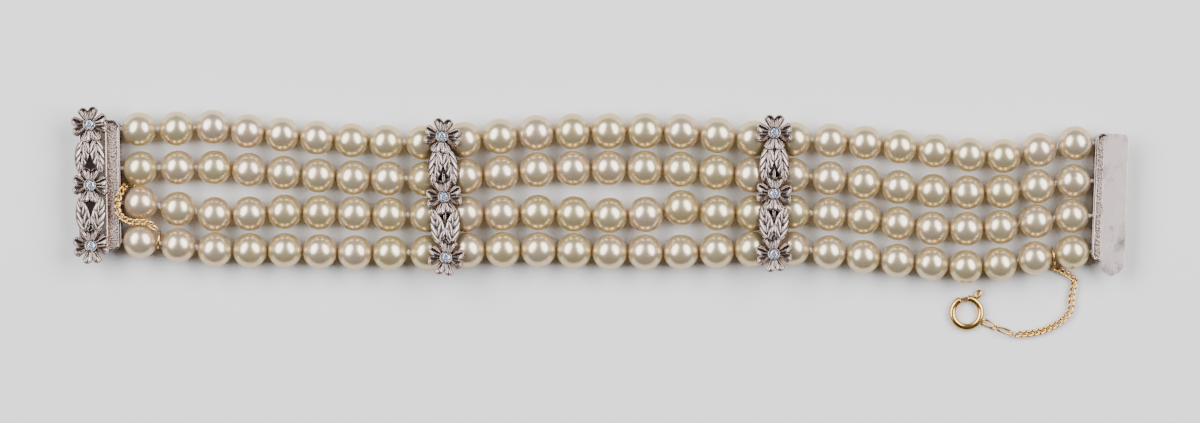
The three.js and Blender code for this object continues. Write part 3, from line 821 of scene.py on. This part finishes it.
# %% [markdown]
# A spacer bar is a thin plate that stands across the band between two pearls, drilled for the four
# strings, with the ornament soldered on top. It keeps the strands apart. Each hole is where the silk
# passes, so its place is read from the strands and not written down again.

# %% The two spacer bars
BAR = {"width": 0.5, "half": 11.2, "bottom": 0.9, "top": 6.5, "ornament": 6.3, "hole": 0.55, "soft": 0.12}
BARS = [
    {"name": "bar_1", "x": -27.0, "y": -0.85, "turn": 1.9, "flowers": [-8, 5, -10]},
    {"name": "bar_2", "x": 29.6, "y": -0.25, "turn": -0.3, "flowers": [0, -4, 6]},
]


def local_y(place, point):
    """How far along a piece that stands at place a point of the band is."""
    away = Vector((point.x - place["x"], point.y - place["y"]))
    return away.y * math.cos(math.radians(place["turn"])) - away.x * math.sin(math.radians(place["turn"]))


def make_bar(number, place):
    thick, half = BAR["width"] / 2, BAR["half"]
    plate = block((-thick, -half, BAR["bottom"]), (thick, half, BAR["top"]), bevel=BAR["soft"], segments=3)
    for pearls in strands.values():
        last = (number + 1) * PEARLS_IN_RUN - 1
        start, end, middle = silk_between(pearls[last], pearls[last + 1])
        y = local_y(place, Vector(((start + end) / 2, middle.y)))
        plate = boolean(plate, rod((-1, y, middle.z), (1, y, middle.z), BAR["hole"]), "DIFFERENCE")
    bm = metal_mesh()
    take_in(bm, plate)
    add_ornament(bm, place["flowers"], BAR["ornament"])
    move_all(bm, local_to_frame(place))
    node = f"spacer_{place['name']}"
    finish_piece(f"{node}_cast", bm, [white_gold], node)
    add_stones(place["name"], place, BAR["ornament"])


for number, place in enumerate(BARS):
    make_bar(number, place)

# %% [markdown]
# Box and tongue each have a low shelf where the strings are fastened, with a smooth raised rim round a
# floor that was stippled with a punch. Here the marks are about 0.36 mm apart. Bump would lie flat when
# seen from the side, so they are real relief: a fine grid, dimpled wherever a punch mark is near.

# %% A stippled shelf with a rim
SHELF = {"top": 3.7, "rim_top": 4.05, "rim": 0.45, "corner": 1.5, "soft": 0.12, "seam": 0.02}
PANEL = {"bottom": 3.4, "dip": 3.55, "above": 6.0}
STIPPLE = {"grid": 0.075, "mark": 0.36, "relief": 0.12}


def rounded_plate(low_x, high_x, half, corner, bottom, top):
    """A plate whose two corners at its high-X end are rounded."""
    bm = block((low_x, -half, bottom), (high_x, half, top))
    upright = [
        edge for edge in bm.edges
        if all(vert.co.x > high_x - 0.01 for vert in edge.verts)
        and abs(edge.verts[0].co.z - edge.verts[1].co.z) > 0.1
    ]
    round_edges(bm, upright, corner, 8)
    return bm


def soften_top(bm, offset, segments=3):
    """Rounds the edges round the top face."""
    top = max(vert.co.z for vert in bm.verts)
    edges = [edge for edge in bm.edges if all(vert.co.z > top - 0.001 for vert in edge.verts)]
    round_edges(bm, edges, offset, segments)


def nearest_punch(x, y):
    """How far the nearest punch mark is. Each square of side 1 has one, moved from its corner by chance."""
    best = 9.0
    for column in (-1, 0, 1):
        for line in (-1, 0, 1):
            corner = Vector((math.floor(x) + column, math.floor(y) + line, 0))
            punch = corner + noise.cell_vector(corner)
            best = min(best, math.hypot(punch.x - x, punch.y - y))
    return best


def stippled_floor(low, high, bottom, top):
    """A slab whose top is punched all over."""
    columns = round((high[0] - low[0]) / STIPPLE["grid"])
    lines = round((high[1] - low[1]) / STIPPLE["grid"])

    def point(across, along):
        x = low[0] + (across + 1) / 2 * (high[0] - low[0])
        y = low[1] + along * (high[1] - low[1])
        dimple = mound(nearest_punch(x / STIPPLE["mark"], y / STIPPLE["mark"]), 0.0, 0.32)
        return Vector((x, y, top - STIPPLE["relief"] * dimple)), 0.8 * dimple

    return relief_grid(columns, lines, point, top - bottom)


def make_shelf(low_x, high_x, half, holes):
    """The shelf with its rim towards +X, the holes cut and the stippled floor as its second material."""
    bm = metal_mesh()
    plate = rounded_plate(low_x, high_x, half, SHELF["corner"], 0.0, SHELF["rim_top"])
    soften_top(plate, SHELF["soft"])
    rim, seam = SHELF["rim"], SHELF["seam"]
    corner = SHELF["corner"] - rim
    dip = rounded_plate(low_x - 1, high_x - rim, half - rim, corner, PANEL["dip"], PANEL["above"])
    plate = boolean(plate, dip, "DIFFERENCE")
    take_in(bm, boolean(plate, holes, "DIFFERENCE"))
    inset = rim - seam
    low, high = (low_x + seam, -half + inset), (high_x - inset, half - inset)
    panel = stippled_floor(low, high, PANEL["bottom"], SHELF["top"])
    keep = rounded_plate(low_x, high_x - inset, half - inset, corner, PANEL["bottom"] + 0.1, PANEL["above"])
    panel = boolean(panel, keep, "INTERSECT")
    for face in panel.faces:
        face.material_index = 1
    take_in(bm, panel)
    return bm


# %% [markdown]
# The clasp box is a hollow body, higher than its shelf, under the same flowers and leaves as the bars.
# The room inside is cut out first, then the mouth on the outer side where the tongue goes in, and then
# a slot at the lower end for its thumb piece. The plate under the ornament is painted dark, as the shade
# seen through the gaps between petals and leaves.

# %% The clasp box
BOX = {"x": -87.8, "y": 1.15, "turn": 0.9, "left": -2.05, "right": 3.0, "half": 11.2, "top": 4.6}
BOX_ORNAMENT = 4.25
BOX_WALL = 0.5
BOX_EDGE = {"corner": 0.8, "soft": 0.35}
BOX_FLOWERS = [6, -3, 4]
MOUTH = {"bottom": 1.5, "end_slot": 3.3}
BOX_SHELF = 2.12
PAINTED_SHADE_PLATE = {"half_x": 1.5, "half_y": 9.4, "below": 0.1, "above": 0.03, "shade_and_tarnish": 0.8}


def string_holes(place, face_x, deep_x, index):
    """The four holes that the strings go into, as one set of rods."""
    bm = bmesh.new()
    for pearls in strands.values():
        centre = pearls[index]["centre"]
        y = local_y(place, centre)
        take_in(bm, rod((face_x, y, centre.z), (deep_x, y, centre.z), BAR["hole"]))
    return bm


def make_clasp_box():
    left, right, half, top = BOX["left"], BOX["right"], BOX["half"], BOX["top"]
    inner = half - BOX_WALL
    body = rounded_plate(left, right, half, BOX_EDGE["corner"], 0.0, top)
    soften_top(body, BOX_EDGE["soft"], segments=4)
    ceiling = top - BOX_WALL
    room = block((left + BOX_WALL, -inner, BOX_WALL), (right - BOX_WALL, inner, ceiling))
    mouth = block((left - 1, -inner, MOUTH["bottom"]), (left + 1, inner, ceiling))
    slot = block((left - 1, -half - 1, MOUTH["end_slot"]), (right - BOX_WALL, -inner + 1, ceiling))
    for cut in (room, mouth, slot):
        body = boolean(body, cut, "DIFFERENCE")
    face = right + BOX_SHELF
    holes = string_holes(BOX, face - SILK_IN_WALL - 0.2, face + 1, 0)
    shelf = make_shelf(right - 0.2, face, half, holes)
    bm = metal_mesh()
    # A thin plate under the ornament, painted dark as the shade seen between petals and leaves.
    wide, long = PAINTED_SHADE_PLATE["half_x"], PAINTED_SHADE_PLATE["half_y"]
    take_in(bm, block((-wide, -long, top - PAINTED_SHADE_PLATE["below"]), (wide, long, top + PAINTED_SHADE_PLATE["above"])))
    tarnish_and_shade = bm.verts.layers.float["tarnish_and_shade"]
    for vert in bm.verts:
        vert[tarnish_and_shade] = PAINTED_SHADE_PLATE["shade_and_tarnish"]
    take_in(bm, body)
    take_in(bm, shelf)
    add_ornament(bm, BOX_FLOWERS, BOX_ORNAMENT)
    move_all(bm, local_to_frame(BOX))
    finish_piece("clasp_box_cast", bm, [white_gold, stippled_gold], "clasp_box")
    add_stones("clasp", BOX, BOX_ORNAMENT)


make_clasp_box()

# %% [markdown]
# The tongue is the other half of the clasp: the same kind of shelf, and soldered on it a flat brushed
# blade that folds back under itself at its outer edge and makes a spring. The blade's inner edge shows
# the uneven line of the solder, its upper corner is cut and its lower end is a rounded thumb piece.

# %% The folded tongue
TONGUE = {"x": 84.56, "y": -0.95, "turn": -2.1, "half": 11.1}
TONGUE_SHELF = 1.8
BLADE = {
    "left": 1.4, "right": 5.7, "top_y": 11.05, "bottom_y": -10.8, "end_y": -13.2, "z": 3.45, "thick": 0.4,
}
BLADE_EDGE = {"cut_x": 0.6, "cut_y": 0.7, "slow": 0.3, "fast": 0.14, "nub": 0.15, "soft": 0.05}
FOLD_RADIUS = 0.55
SPRING_LEAF = {"thick": 0.35, "half": 9.2, "free_x": 2.3, "free_z": 1.35}


def blade_outline():
    """The outline of the blade, with the ragged solder line on its strand side."""
    left, right = BLADE["left"], BLADE["right"]
    middle, reach = (left + right) / 2, (right - left) / 2
    edge, far_y = BLADE_EDGE, BLADE["top_y"]
    points = [Vector((right, far_y - edge["cut_y"])), Vector((right - edge["cut_x"], far_y))]
    lines = 70
    for line in range(lines + 1):
        y = far_y + (BLADE["bottom_y"] - far_y) * line / lines
        ragged = edge["slow"] * noise.noise(Vector((0, y * 0.9, 3)))
        ragged += edge["fast"] * noise.noise(Vector((5, y * 3.0, 0)))
        points.append(Vector((left + ragged, y)))
    turns = 24
    for step in range(1, turns):
        angle = math.pi + math.pi * step / turns
        drop = BLADE["bottom_y"] - BLADE["end_y"]
        nub = edge["nub"] if abs(step - turns // 2) < 2 else 0.0
        y = BLADE["bottom_y"] + drop * math.sin(angle) - nub
        points.append(Vector((middle + reach * math.cos(angle), y)))
    points.append(Vector((right, BLADE["bottom_y"])))
    return points


def make_blade():
    bm = bmesh.new()
    face = bm.faces.new([bm.verts.new((point.x, point.y, BLADE["z"])) for point in blade_outline()])
    made = bmesh.ops.extrude_face_region(bm, geom=[face])
    bmesh.ops.translate(bm, vec=(0, 0, BLADE["thick"]), verts=new_points(made))
    face_out(bm)
    soften_top(bm, BLADE_EDGE["soft"], segments=2)
    return bm


def make_spring_leaf():
    """The fold and the leaf that returns beneath the blade, drawn in section and pulled out along Y."""
    bm = bmesh.new()
    outer = FOLD_RADIUS + SPRING_LEAF["thick"] / 2
    fold_x = BLADE["right"] - outer
    fold_z = BLADE["z"] + BLADE["thick"] / 2 - FOLD_RADIUS
    free = Vector((SPRING_LEAF["free_x"], 0, SPRING_LEAF["free_z"]))
    path = [Vector((fold_x - 0.6, 0, fold_z + FOLD_RADIUS))]
    turns = 10
    for step in range(turns + 1):
        angle = math.pi / 2 - math.radians(200) * step / turns
        out, rise = FOLD_RADIUS * math.cos(angle), FOLD_RADIUS * math.sin(angle)
        path.append(Vector((fold_x + out, 0, fold_z + rise)))
    path.append(free)
    half = SPRING_LEAF["half"]
    _, edges = drawn_line(bm, [point - Vector((0, half, 0)) for point in path])
    made = bmesh.ops.extrude_edge_only(bm, edges=edges)
    bmesh.ops.translate(bm, vec=(0, 2 * half, 0), verts=new_points(made))
    face_out(bm)
    bmesh.ops.solidify(bm, geom=bm.faces[:], thickness=SPRING_LEAF["thick"] / 2)
    face_out(bm)
    return bm


def make_tongue():
    holes = string_holes(TONGUE, SILK_IN_WALL + 0.2, -1, -1)
    move_all(holes, turn(180))
    shelf = make_shelf(-TONGUE_SHELF, 0.0, TONGUE["half"], holes)
    move_all(shelf, turn(180))
    bm = metal_mesh()
    take_in(bm, shelf)
    shelf_faces = len(bm.faces)
    take_in(bm, make_blade())
    take_in(bm, make_spring_leaf())
    bm.faces.ensure_lookup_table()
    for face in bm.faces[shelf_faces:]:
        face.material_index = 2
    move_all(bm, local_to_frame(TONGUE))
    skins = [white_gold, stippled_gold, satin_gold]
    finish_piece("clasp_tongue_sheet", bm, skins, "clasp_tongue")


make_tongue()

# %% [markdown]
# A curb chain is made of oval links that are twisted until the chain lies flat. Each link starts as a
# ring of round wire, is drawn out to an oval, and is then twisted about the line of the chain, one way at
# one end and the other way at the other, so that it passes through its neighbours.

# %% Wire rings and curb links
def wire_section(wire, sides, place):
    """The round section of a wire that runs along Y at that place: (bmesh, its points and edges)."""
    bm = bmesh.new()
    circle = bmesh.ops.create_circle(bm, segments=sides, radius=wire)["verts"]
    move_all(bm, place @ turn(90, "X"), circle)
    return bm, circle + bm.edges[:]


def wire_ring(long, wide, wire, around=28, sides=10):
    """A closed oval ring of round wire in the XY plane; long and wide reach to the middle of the wire."""
    bm, section = wire_section(wire, sides, moved(wide))
    spin_round(bm, section, (0, 0, 1), around)
    for vert in bm.verts:
        vert.co.x += (long - wide) * math.cos(math.atan2(vert.co.y, vert.co.x))
    return bm


CURB = {"pitch": 1.05, "long": 0.82, "wide": 0.35, "wire": 0.22, "twist": math.radians(50)}
CURB_SLANT = 20


def curb_link():
    """One link along X, twisted about its own length and lying a little aslant, as a curb link does."""
    bm = wire_ring(CURB["long"], CURB["wide"], CURB["wire"], around=20, sides=8)
    for vert in bm.verts:
        angle = CURB["twist"] * max(-1.0, min(1.0, vert.co.x / CURB["long"]))
        y, z = vert.co.y, vert.co.z
        vert.co.y = y * math.cos(angle) - z * math.sin(angle)
        vert.co.z = y * math.sin(angle) + z * math.cos(angle)
    move_all(bm, turn(CURB_SLANT))
    return bm


link_mesh = curb_link()
print("curb link:", len(link_mesh.faces), "faces")

# %% [markdown]
# The chain lies open in two lengths. Their bends are short lists of points, chosen from the
# photograph. The links stand at even steps along the smooth line through them, and each takes over the
# up direction of the one before, so that the flat chain never flips over.

# %% The two halves of the safety chain
FLOOR_Z = 0.62
LOOK = 6
CHAIN_TO_SPRING_RING = [
    (78.0, -12.95, 0.75), (79.2, -13.5, FLOOR_Z), (80.5, -14.3, FLOOR_Z), (81.5, -15.3, FLOOR_Z),
    (81.3, -16.6, FLOOR_Z), (81.0, -18.4, FLOOR_Z), (80.9, -20.0, FLOOR_Z), (80.0, -21.5, FLOOR_Z),
    (78.2, -22.9, FLOOR_Z), (75.6, -24.0, FLOOR_Z), (73.2, -24.4, FLOOR_Z), (71.2, -24.5, FLOOR_Z),
]
CHAIN_TO_END_RING = [
    (-76.6, -6.5, 4.95), (-77.4, -5.6, 5.0), (-78.4, -5.2, 4.85), (-79.5, -5.15, 4.8),
    (-80.8, -5.1, 4.8), (-82.0, -4.6, 4.95), (-82.9, -3.6, 5.1), (-83.1, -2.0, 5.1),
    (-82.7, -0.4, 5.0), (-82.1, 0.7, 4.5), (-81.85, 1.1, 3.4), (-81.8, 1.1, 2.2),
    (-81.6, 1.1, 1.2), (-81.1, 1.1, FLOOR_Z),
]


def walk(route, steps=400):
    """Points close together along a smooth line through the route."""
    axes = [[point[axis] for point in route] for axis in range(3)]
    return [Vector([smooth_line(stations, step / steps) for stations in axes]) for step in range(steps + 1)]


def make_chain(name, route):
    line = walk(route)
    lengths = [0.0]
    for before, after in zip(line, line[1:]):
        lengths.append(lengths[-1] + (after - before).length)
    count = round((lengths[-1] - 2 * CURB["wire"]) / CURB["pitch"])
    pitch = lengths[-1] / count
    bm = bmesh.new()
    up = Vector((0, 0, 1))
    at = 0
    for number in range(count):
        middle = (number + 0.5) * pitch
        while lengths[at + 1] < middle:
            at += 1
        heading = (line[min(at + LOOK, len(line) - 1)] - line[max(at - LOOK, 0)]).normalized()
        up = (up - heading * up.dot(heading)).normalized()
        side = up.cross(heading)
        stand = Matrix((heading, side, up)).transposed().to_4x4()
        put(bm, link_mesh, Matrix.Translation(line[at]) @ stand)
    move_all(bm, BAND_TO_FRAME)
    finish_piece(f"{name}_links", bm, [yellow_gold], name)
    print(f"{name}: {count} links over {lengths[-1]:.1f} mm")


make_chain("safety_chain_tongue_side", CHAIN_TO_SPRING_RING)
make_chain("safety_chain_box_side", CHAIN_TO_END_RING)

# %% [markdown]
# Each half of the chain hangs on a jump ring that goes round the string of the fourth strand. The ring is
# seen edge-on between two pearls. The free end of the half at the box carries a small round ring.

# %% Jump rings and end ring
JUMP = {"radius": 1.45, "wire": 0.17}
JUMP_RINGS = table("name after_pearl lean_y lean_z", [
    ("jump_ring_tongue_side", 26, -0.2, -0.75),
    ("jump_ring_box_side", 1, 0.57, 0.57),
])


def make_jump_ring(ring):
    before, after = strands[RING_STRAND][ring["after_pearl"] - 1 : ring["after_pearl"] + 1]
    start, end, middle = silk_between(before, after)
    bm = wire_ring(JUMP["radius"], JUMP["radius"], JUMP["wire"], around=40, sides=12)
    heading = after["centre"] - before["centre"]
    across = turn(math.degrees(math.atan2(heading.y, heading.x))) @ turn(90, "Y")
    centre = Vector(((start + end) / 2, middle.y + ring["lean_y"], middle.z + ring["lean_z"]))
    move_all(bm, BAND_TO_FRAME @ Matrix.Translation(centre) @ across)
    finish_piece(f"{ring['name']}_wire", bm, [yellow_gold], ring["name"])


for ring in JUMP_RINGS:
    make_jump_ring(ring)

END_RING = {"radius": 0.85, "wire": 0.17}
CLEAR = {"of_chain": 0.3, "of_floor": 0.03}
radius, wire = END_RING["radius"], END_RING["wire"]
end_x, end_y, _ = CHAIN_TO_END_RING[-1]
bm = wire_ring(radius, radius, wire)
end_ring_place = moved(end_x + CLEAR["of_chain"] + radius + wire, end_y, wire + CLEAR["of_floor"])
move_all(bm, BAND_TO_FRAME @ end_ring_place)
finish_piece("chain_end_ring_wire", bm, [yellow_gold], "chain_end_ring")

# %% [markdown]
# The spring ring is a tube bent round, open for a stretch of about 30 degrees. A wire bolt slides inside
# it and closes the opening, pushed by a coil spring that doesn't show, and its small loop comes out
# through a slot in the tube's outer side for the thumbnail. Tube and bolt are separate pieces, because
# the bolt turns about the middle of the ring.

# %% The spring ring
RING = {"x": 62.95, "y": -20.8, "over_floor": 0.01, "radius": 2.46, "tube": 0.6, "channel": 0.42}
RING_GAP = (86, 116)
TAB_SLOT = {"from": 10, "to": 68, "half": 0.28, "out": 0.6, "past": 0.5, "into": 0.1}
EYE = {"angle": -27, "long": 1.4, "wide": 0.62, "wire": 0.21, "away": 4.3, "roll": 38}
RING_CENTRE = Vector((RING["x"], RING["y"], RING["tube"] + RING["over_floor"]))
RING_TO_FRAME = BAND_TO_FRAME @ Matrix.Translation(RING_CENTRE)


def arc_tube(radius, wire, start, end, steps, sides, inward=False):
    """A tube along an arc in the XY plane, open at both ends."""
    bm, section = wire_section(wire, sides, turn(start) @ moved(radius))
    bmesh.ops.spin(
        bm, geom=section, cent=(0, 0, 0), axis=(0, 0, 1), dvec=(0, 0, 0),
        angle=math.radians(end - start), steps=steps, use_merge=False,
    )
    face_out(bm)
    if inward:
        bmesh.ops.reverse_faces(bm, faces=bm.faces[:])
    return bm


def make_ring_tube():
    start, end = RING_GAP[1], RING_GAP[0] + 360
    bm = arc_tube(RING["radius"], RING["tube"], start, end, 72, 24)
    take_in(bm, arc_tube(RING["radius"], RING["channel"], start, end, 72, 24, inward=True))
    open_edges = [edge for edge in bm.edges if edge.is_boundary]
    near_start = Vector((math.cos(math.radians(start)), math.sin(math.radians(start)), 0)) * RING["radius"]
    for at_start in (True, False):
        loop = [
            edge for edge in open_edges
            if ((edge.verts[0].co - near_start).length < 2 * RING["channel"]) == at_start
        ]
        bmesh.ops.bridge_loops(bm, edges=loop)
    face_out(bm)
    return bm


def make_tab_slot():
    """The solid that is cut out for the tab: a square bar, stretched out past the ring's outer side."""
    middle = RING["radius"] + TAB_SLOT["out"]
    bm = arc_tube(middle, TAB_SLOT["half"], TAB_SLOT["from"], TAB_SLOT["to"], 20, 4)
    bmesh.ops.holes_fill(bm, edges=bm.edges[:], sides=0)
    for vert in bm.verts:
        reach = Vector((vert.co.x, vert.co.y, 0))
        vert.co += reach.normalized() * (TAB_SLOT["past"] if reach.length > middle else -TAB_SLOT["into"])
    face_out(bm)
    return bm


ring_tube = boolean(make_ring_tube(), make_tab_slot(), "DIFFERENCE")
eye = wire_ring(EYE["long"], EYE["wide"], EYE["wire"])
move_all(eye, turn(EYE["angle"]) @ moved(EYE["away"]) @ turn(EYE["roll"], "X"))
take_in(ring_tube, eye)
move_all(ring_tube, RING_TO_FRAME)
finish_piece("spring_ring_tube", ring_tube, [yellow_gold], "spring_ring")

# %% [markdown]
# The bolt is a bent wire, longer than the opening that it closes, with its thumb tab on a short stem.
# The long end link joins the ring's eye to the chain. Eye and link lean opposite ways, so that they pass
# through each other without touching.

# %% The bolt and the end link
BOLT = {"wire": 0.25, "tail": 50, "lead": 124, "tab": 58}
TAB = {"middle": 3.78, "long": 0.62, "wide": 0.36, "wire": 0.25, "stem": 0.15}
END_LINK = {"x": 6.27, "y": -3.0, "long": 1.62, "wide": 0.55, "wire": 0.2, "turn": -20, "roll": -45}

bolt = arc_tube(RING["radius"], BOLT["wire"], BOLT["tail"], BOLT["lead"], 24, 14)
bmesh.ops.holes_fill(bolt, edges=bolt.edges[:], sides=0)
face_out(bolt)
to_tab = turn(BOLT["tab"])
stem = rod((RING["radius"], 0, 0), (TAB["middle"] - TAB["long"], 0, 0), TAB["stem"], sides=12)
put(bolt, stem, to_tab)
tab = wire_ring(TAB["long"], TAB["wide"], TAB["wire"])
put(bolt, tab, to_tab @ moved(TAB["middle"]))
move_all(bolt, RING_TO_FRAME)
finish_piece("spring_ring_bolt_wire", bolt, [yellow_gold], "spring_ring_bolt", BOLT_BODY)

end_link = wire_ring(END_LINK["long"], END_LINK["wide"], END_LINK["wire"])
link_place = moved(END_LINK["x"], END_LINK["y"]) @ turn(END_LINK["turn"])
move_all(end_link, RING_TO_FRAME @ link_place @ turn(END_LINK["roll"], "X"))
finish_piece("chain_end_link_wire", end_link, [yellow_gold], "chain_end_link")

# %% [markdown]
# ## Studio
# The bracelet lies on a plain pale floor, one large face, matt enough not to mirror it.

# %% The floor
floor_paint, tree, shader = material("pale_floor")
set_shader(shader, Base_Color=colour("#dbd3c5"), Roughness=0.7)
floor_bm = bmesh.new()
bmesh.ops.create_grid(floor_bm, x_segments=1, y_segments=1, size=2.0)
floor_mesh = bpy.data.meshes.new("floor")
floor_bm.to_mesh(floor_mesh)
floor_bm.free()
floor_mesh.materials.append(floor_paint)
into_scene("floor", floor_mesh)
print("made the floor")

# %% [markdown]
# Two softboxes stand to the left and right, a little towards the top of the picture. They give each pearl
# its soft pair of lights, with a darker patch between and below. A sharp lamp would make hard spots.

# %% The softboxes
SOFTBOX = {"x": 0.72, "y": 0.3, "z": 0.8, "size": (1.35, 0.8), "watts": 34.0}
for name, side in (("softbox_left", -1), ("softbox_right", 1)):
    light = bpy.data.lights.new(name, "AREA")
    light.shape = "ELLIPSE"
    light.size, light.size_y = SOFTBOX["size"]
    light.energy = SOFTBOX["watts"]
    light.color = colour("#e2ebff")[:3]
    lamp = into_scene(name, light)
    lamp.location = (side * SOFTBOX["x"], SOFTBOX["y"], SOFTBOX["z"])
    lamp.rotation_euler = Vector(lamp.location).to_track_quat("Z", "Y").to_euler()

world = bpy.data.worlds.new("studio_air")
bpy.context.scene.world = world
world.use_nodes = True
air = world.node_tree.nodes["Background"]
connect(world.node_tree, air, "Color", colour("#d8d8d8"))
connect(world.node_tree, air, "Strength", 0.1)
print("softboxes:", SOFTBOX["watts"], "W each")

# %% [markdown]
# The camera looks straight down through a long lens, so that the high flowers don't lean outwards. It
# stands where its picture is as wide as the photograph.

# %% The camera
PHOTO_WIDTH_PX = 1200
MM_PER_PX = 0.172
LENS = 200.0
SENSOR = 36.0
frame_width = PHOTO_WIDTH_PX * MM_PER_PX * MM
photo_camera = bpy.data.cameras.new("photo_camera")
photo_camera.lens = LENS
photo_camera.sensor_width = SENSOR
photo_camera.clip_end = 10.0
camera = into_scene("photo_camera", photo_camera)
PICTURE_MIDDLE = (-0.26, -3.35)
PEARL_MIDDLE = 3.0
camera.location = on_band(*PICTURE_MIDDLE, PEARL_MIDDLE) + Vector((0, 0, frame_width * LENS / SENSOR))
bpy.context.scene.camera = camera
print("camera height:", round(camera.location.z, 3), "m")
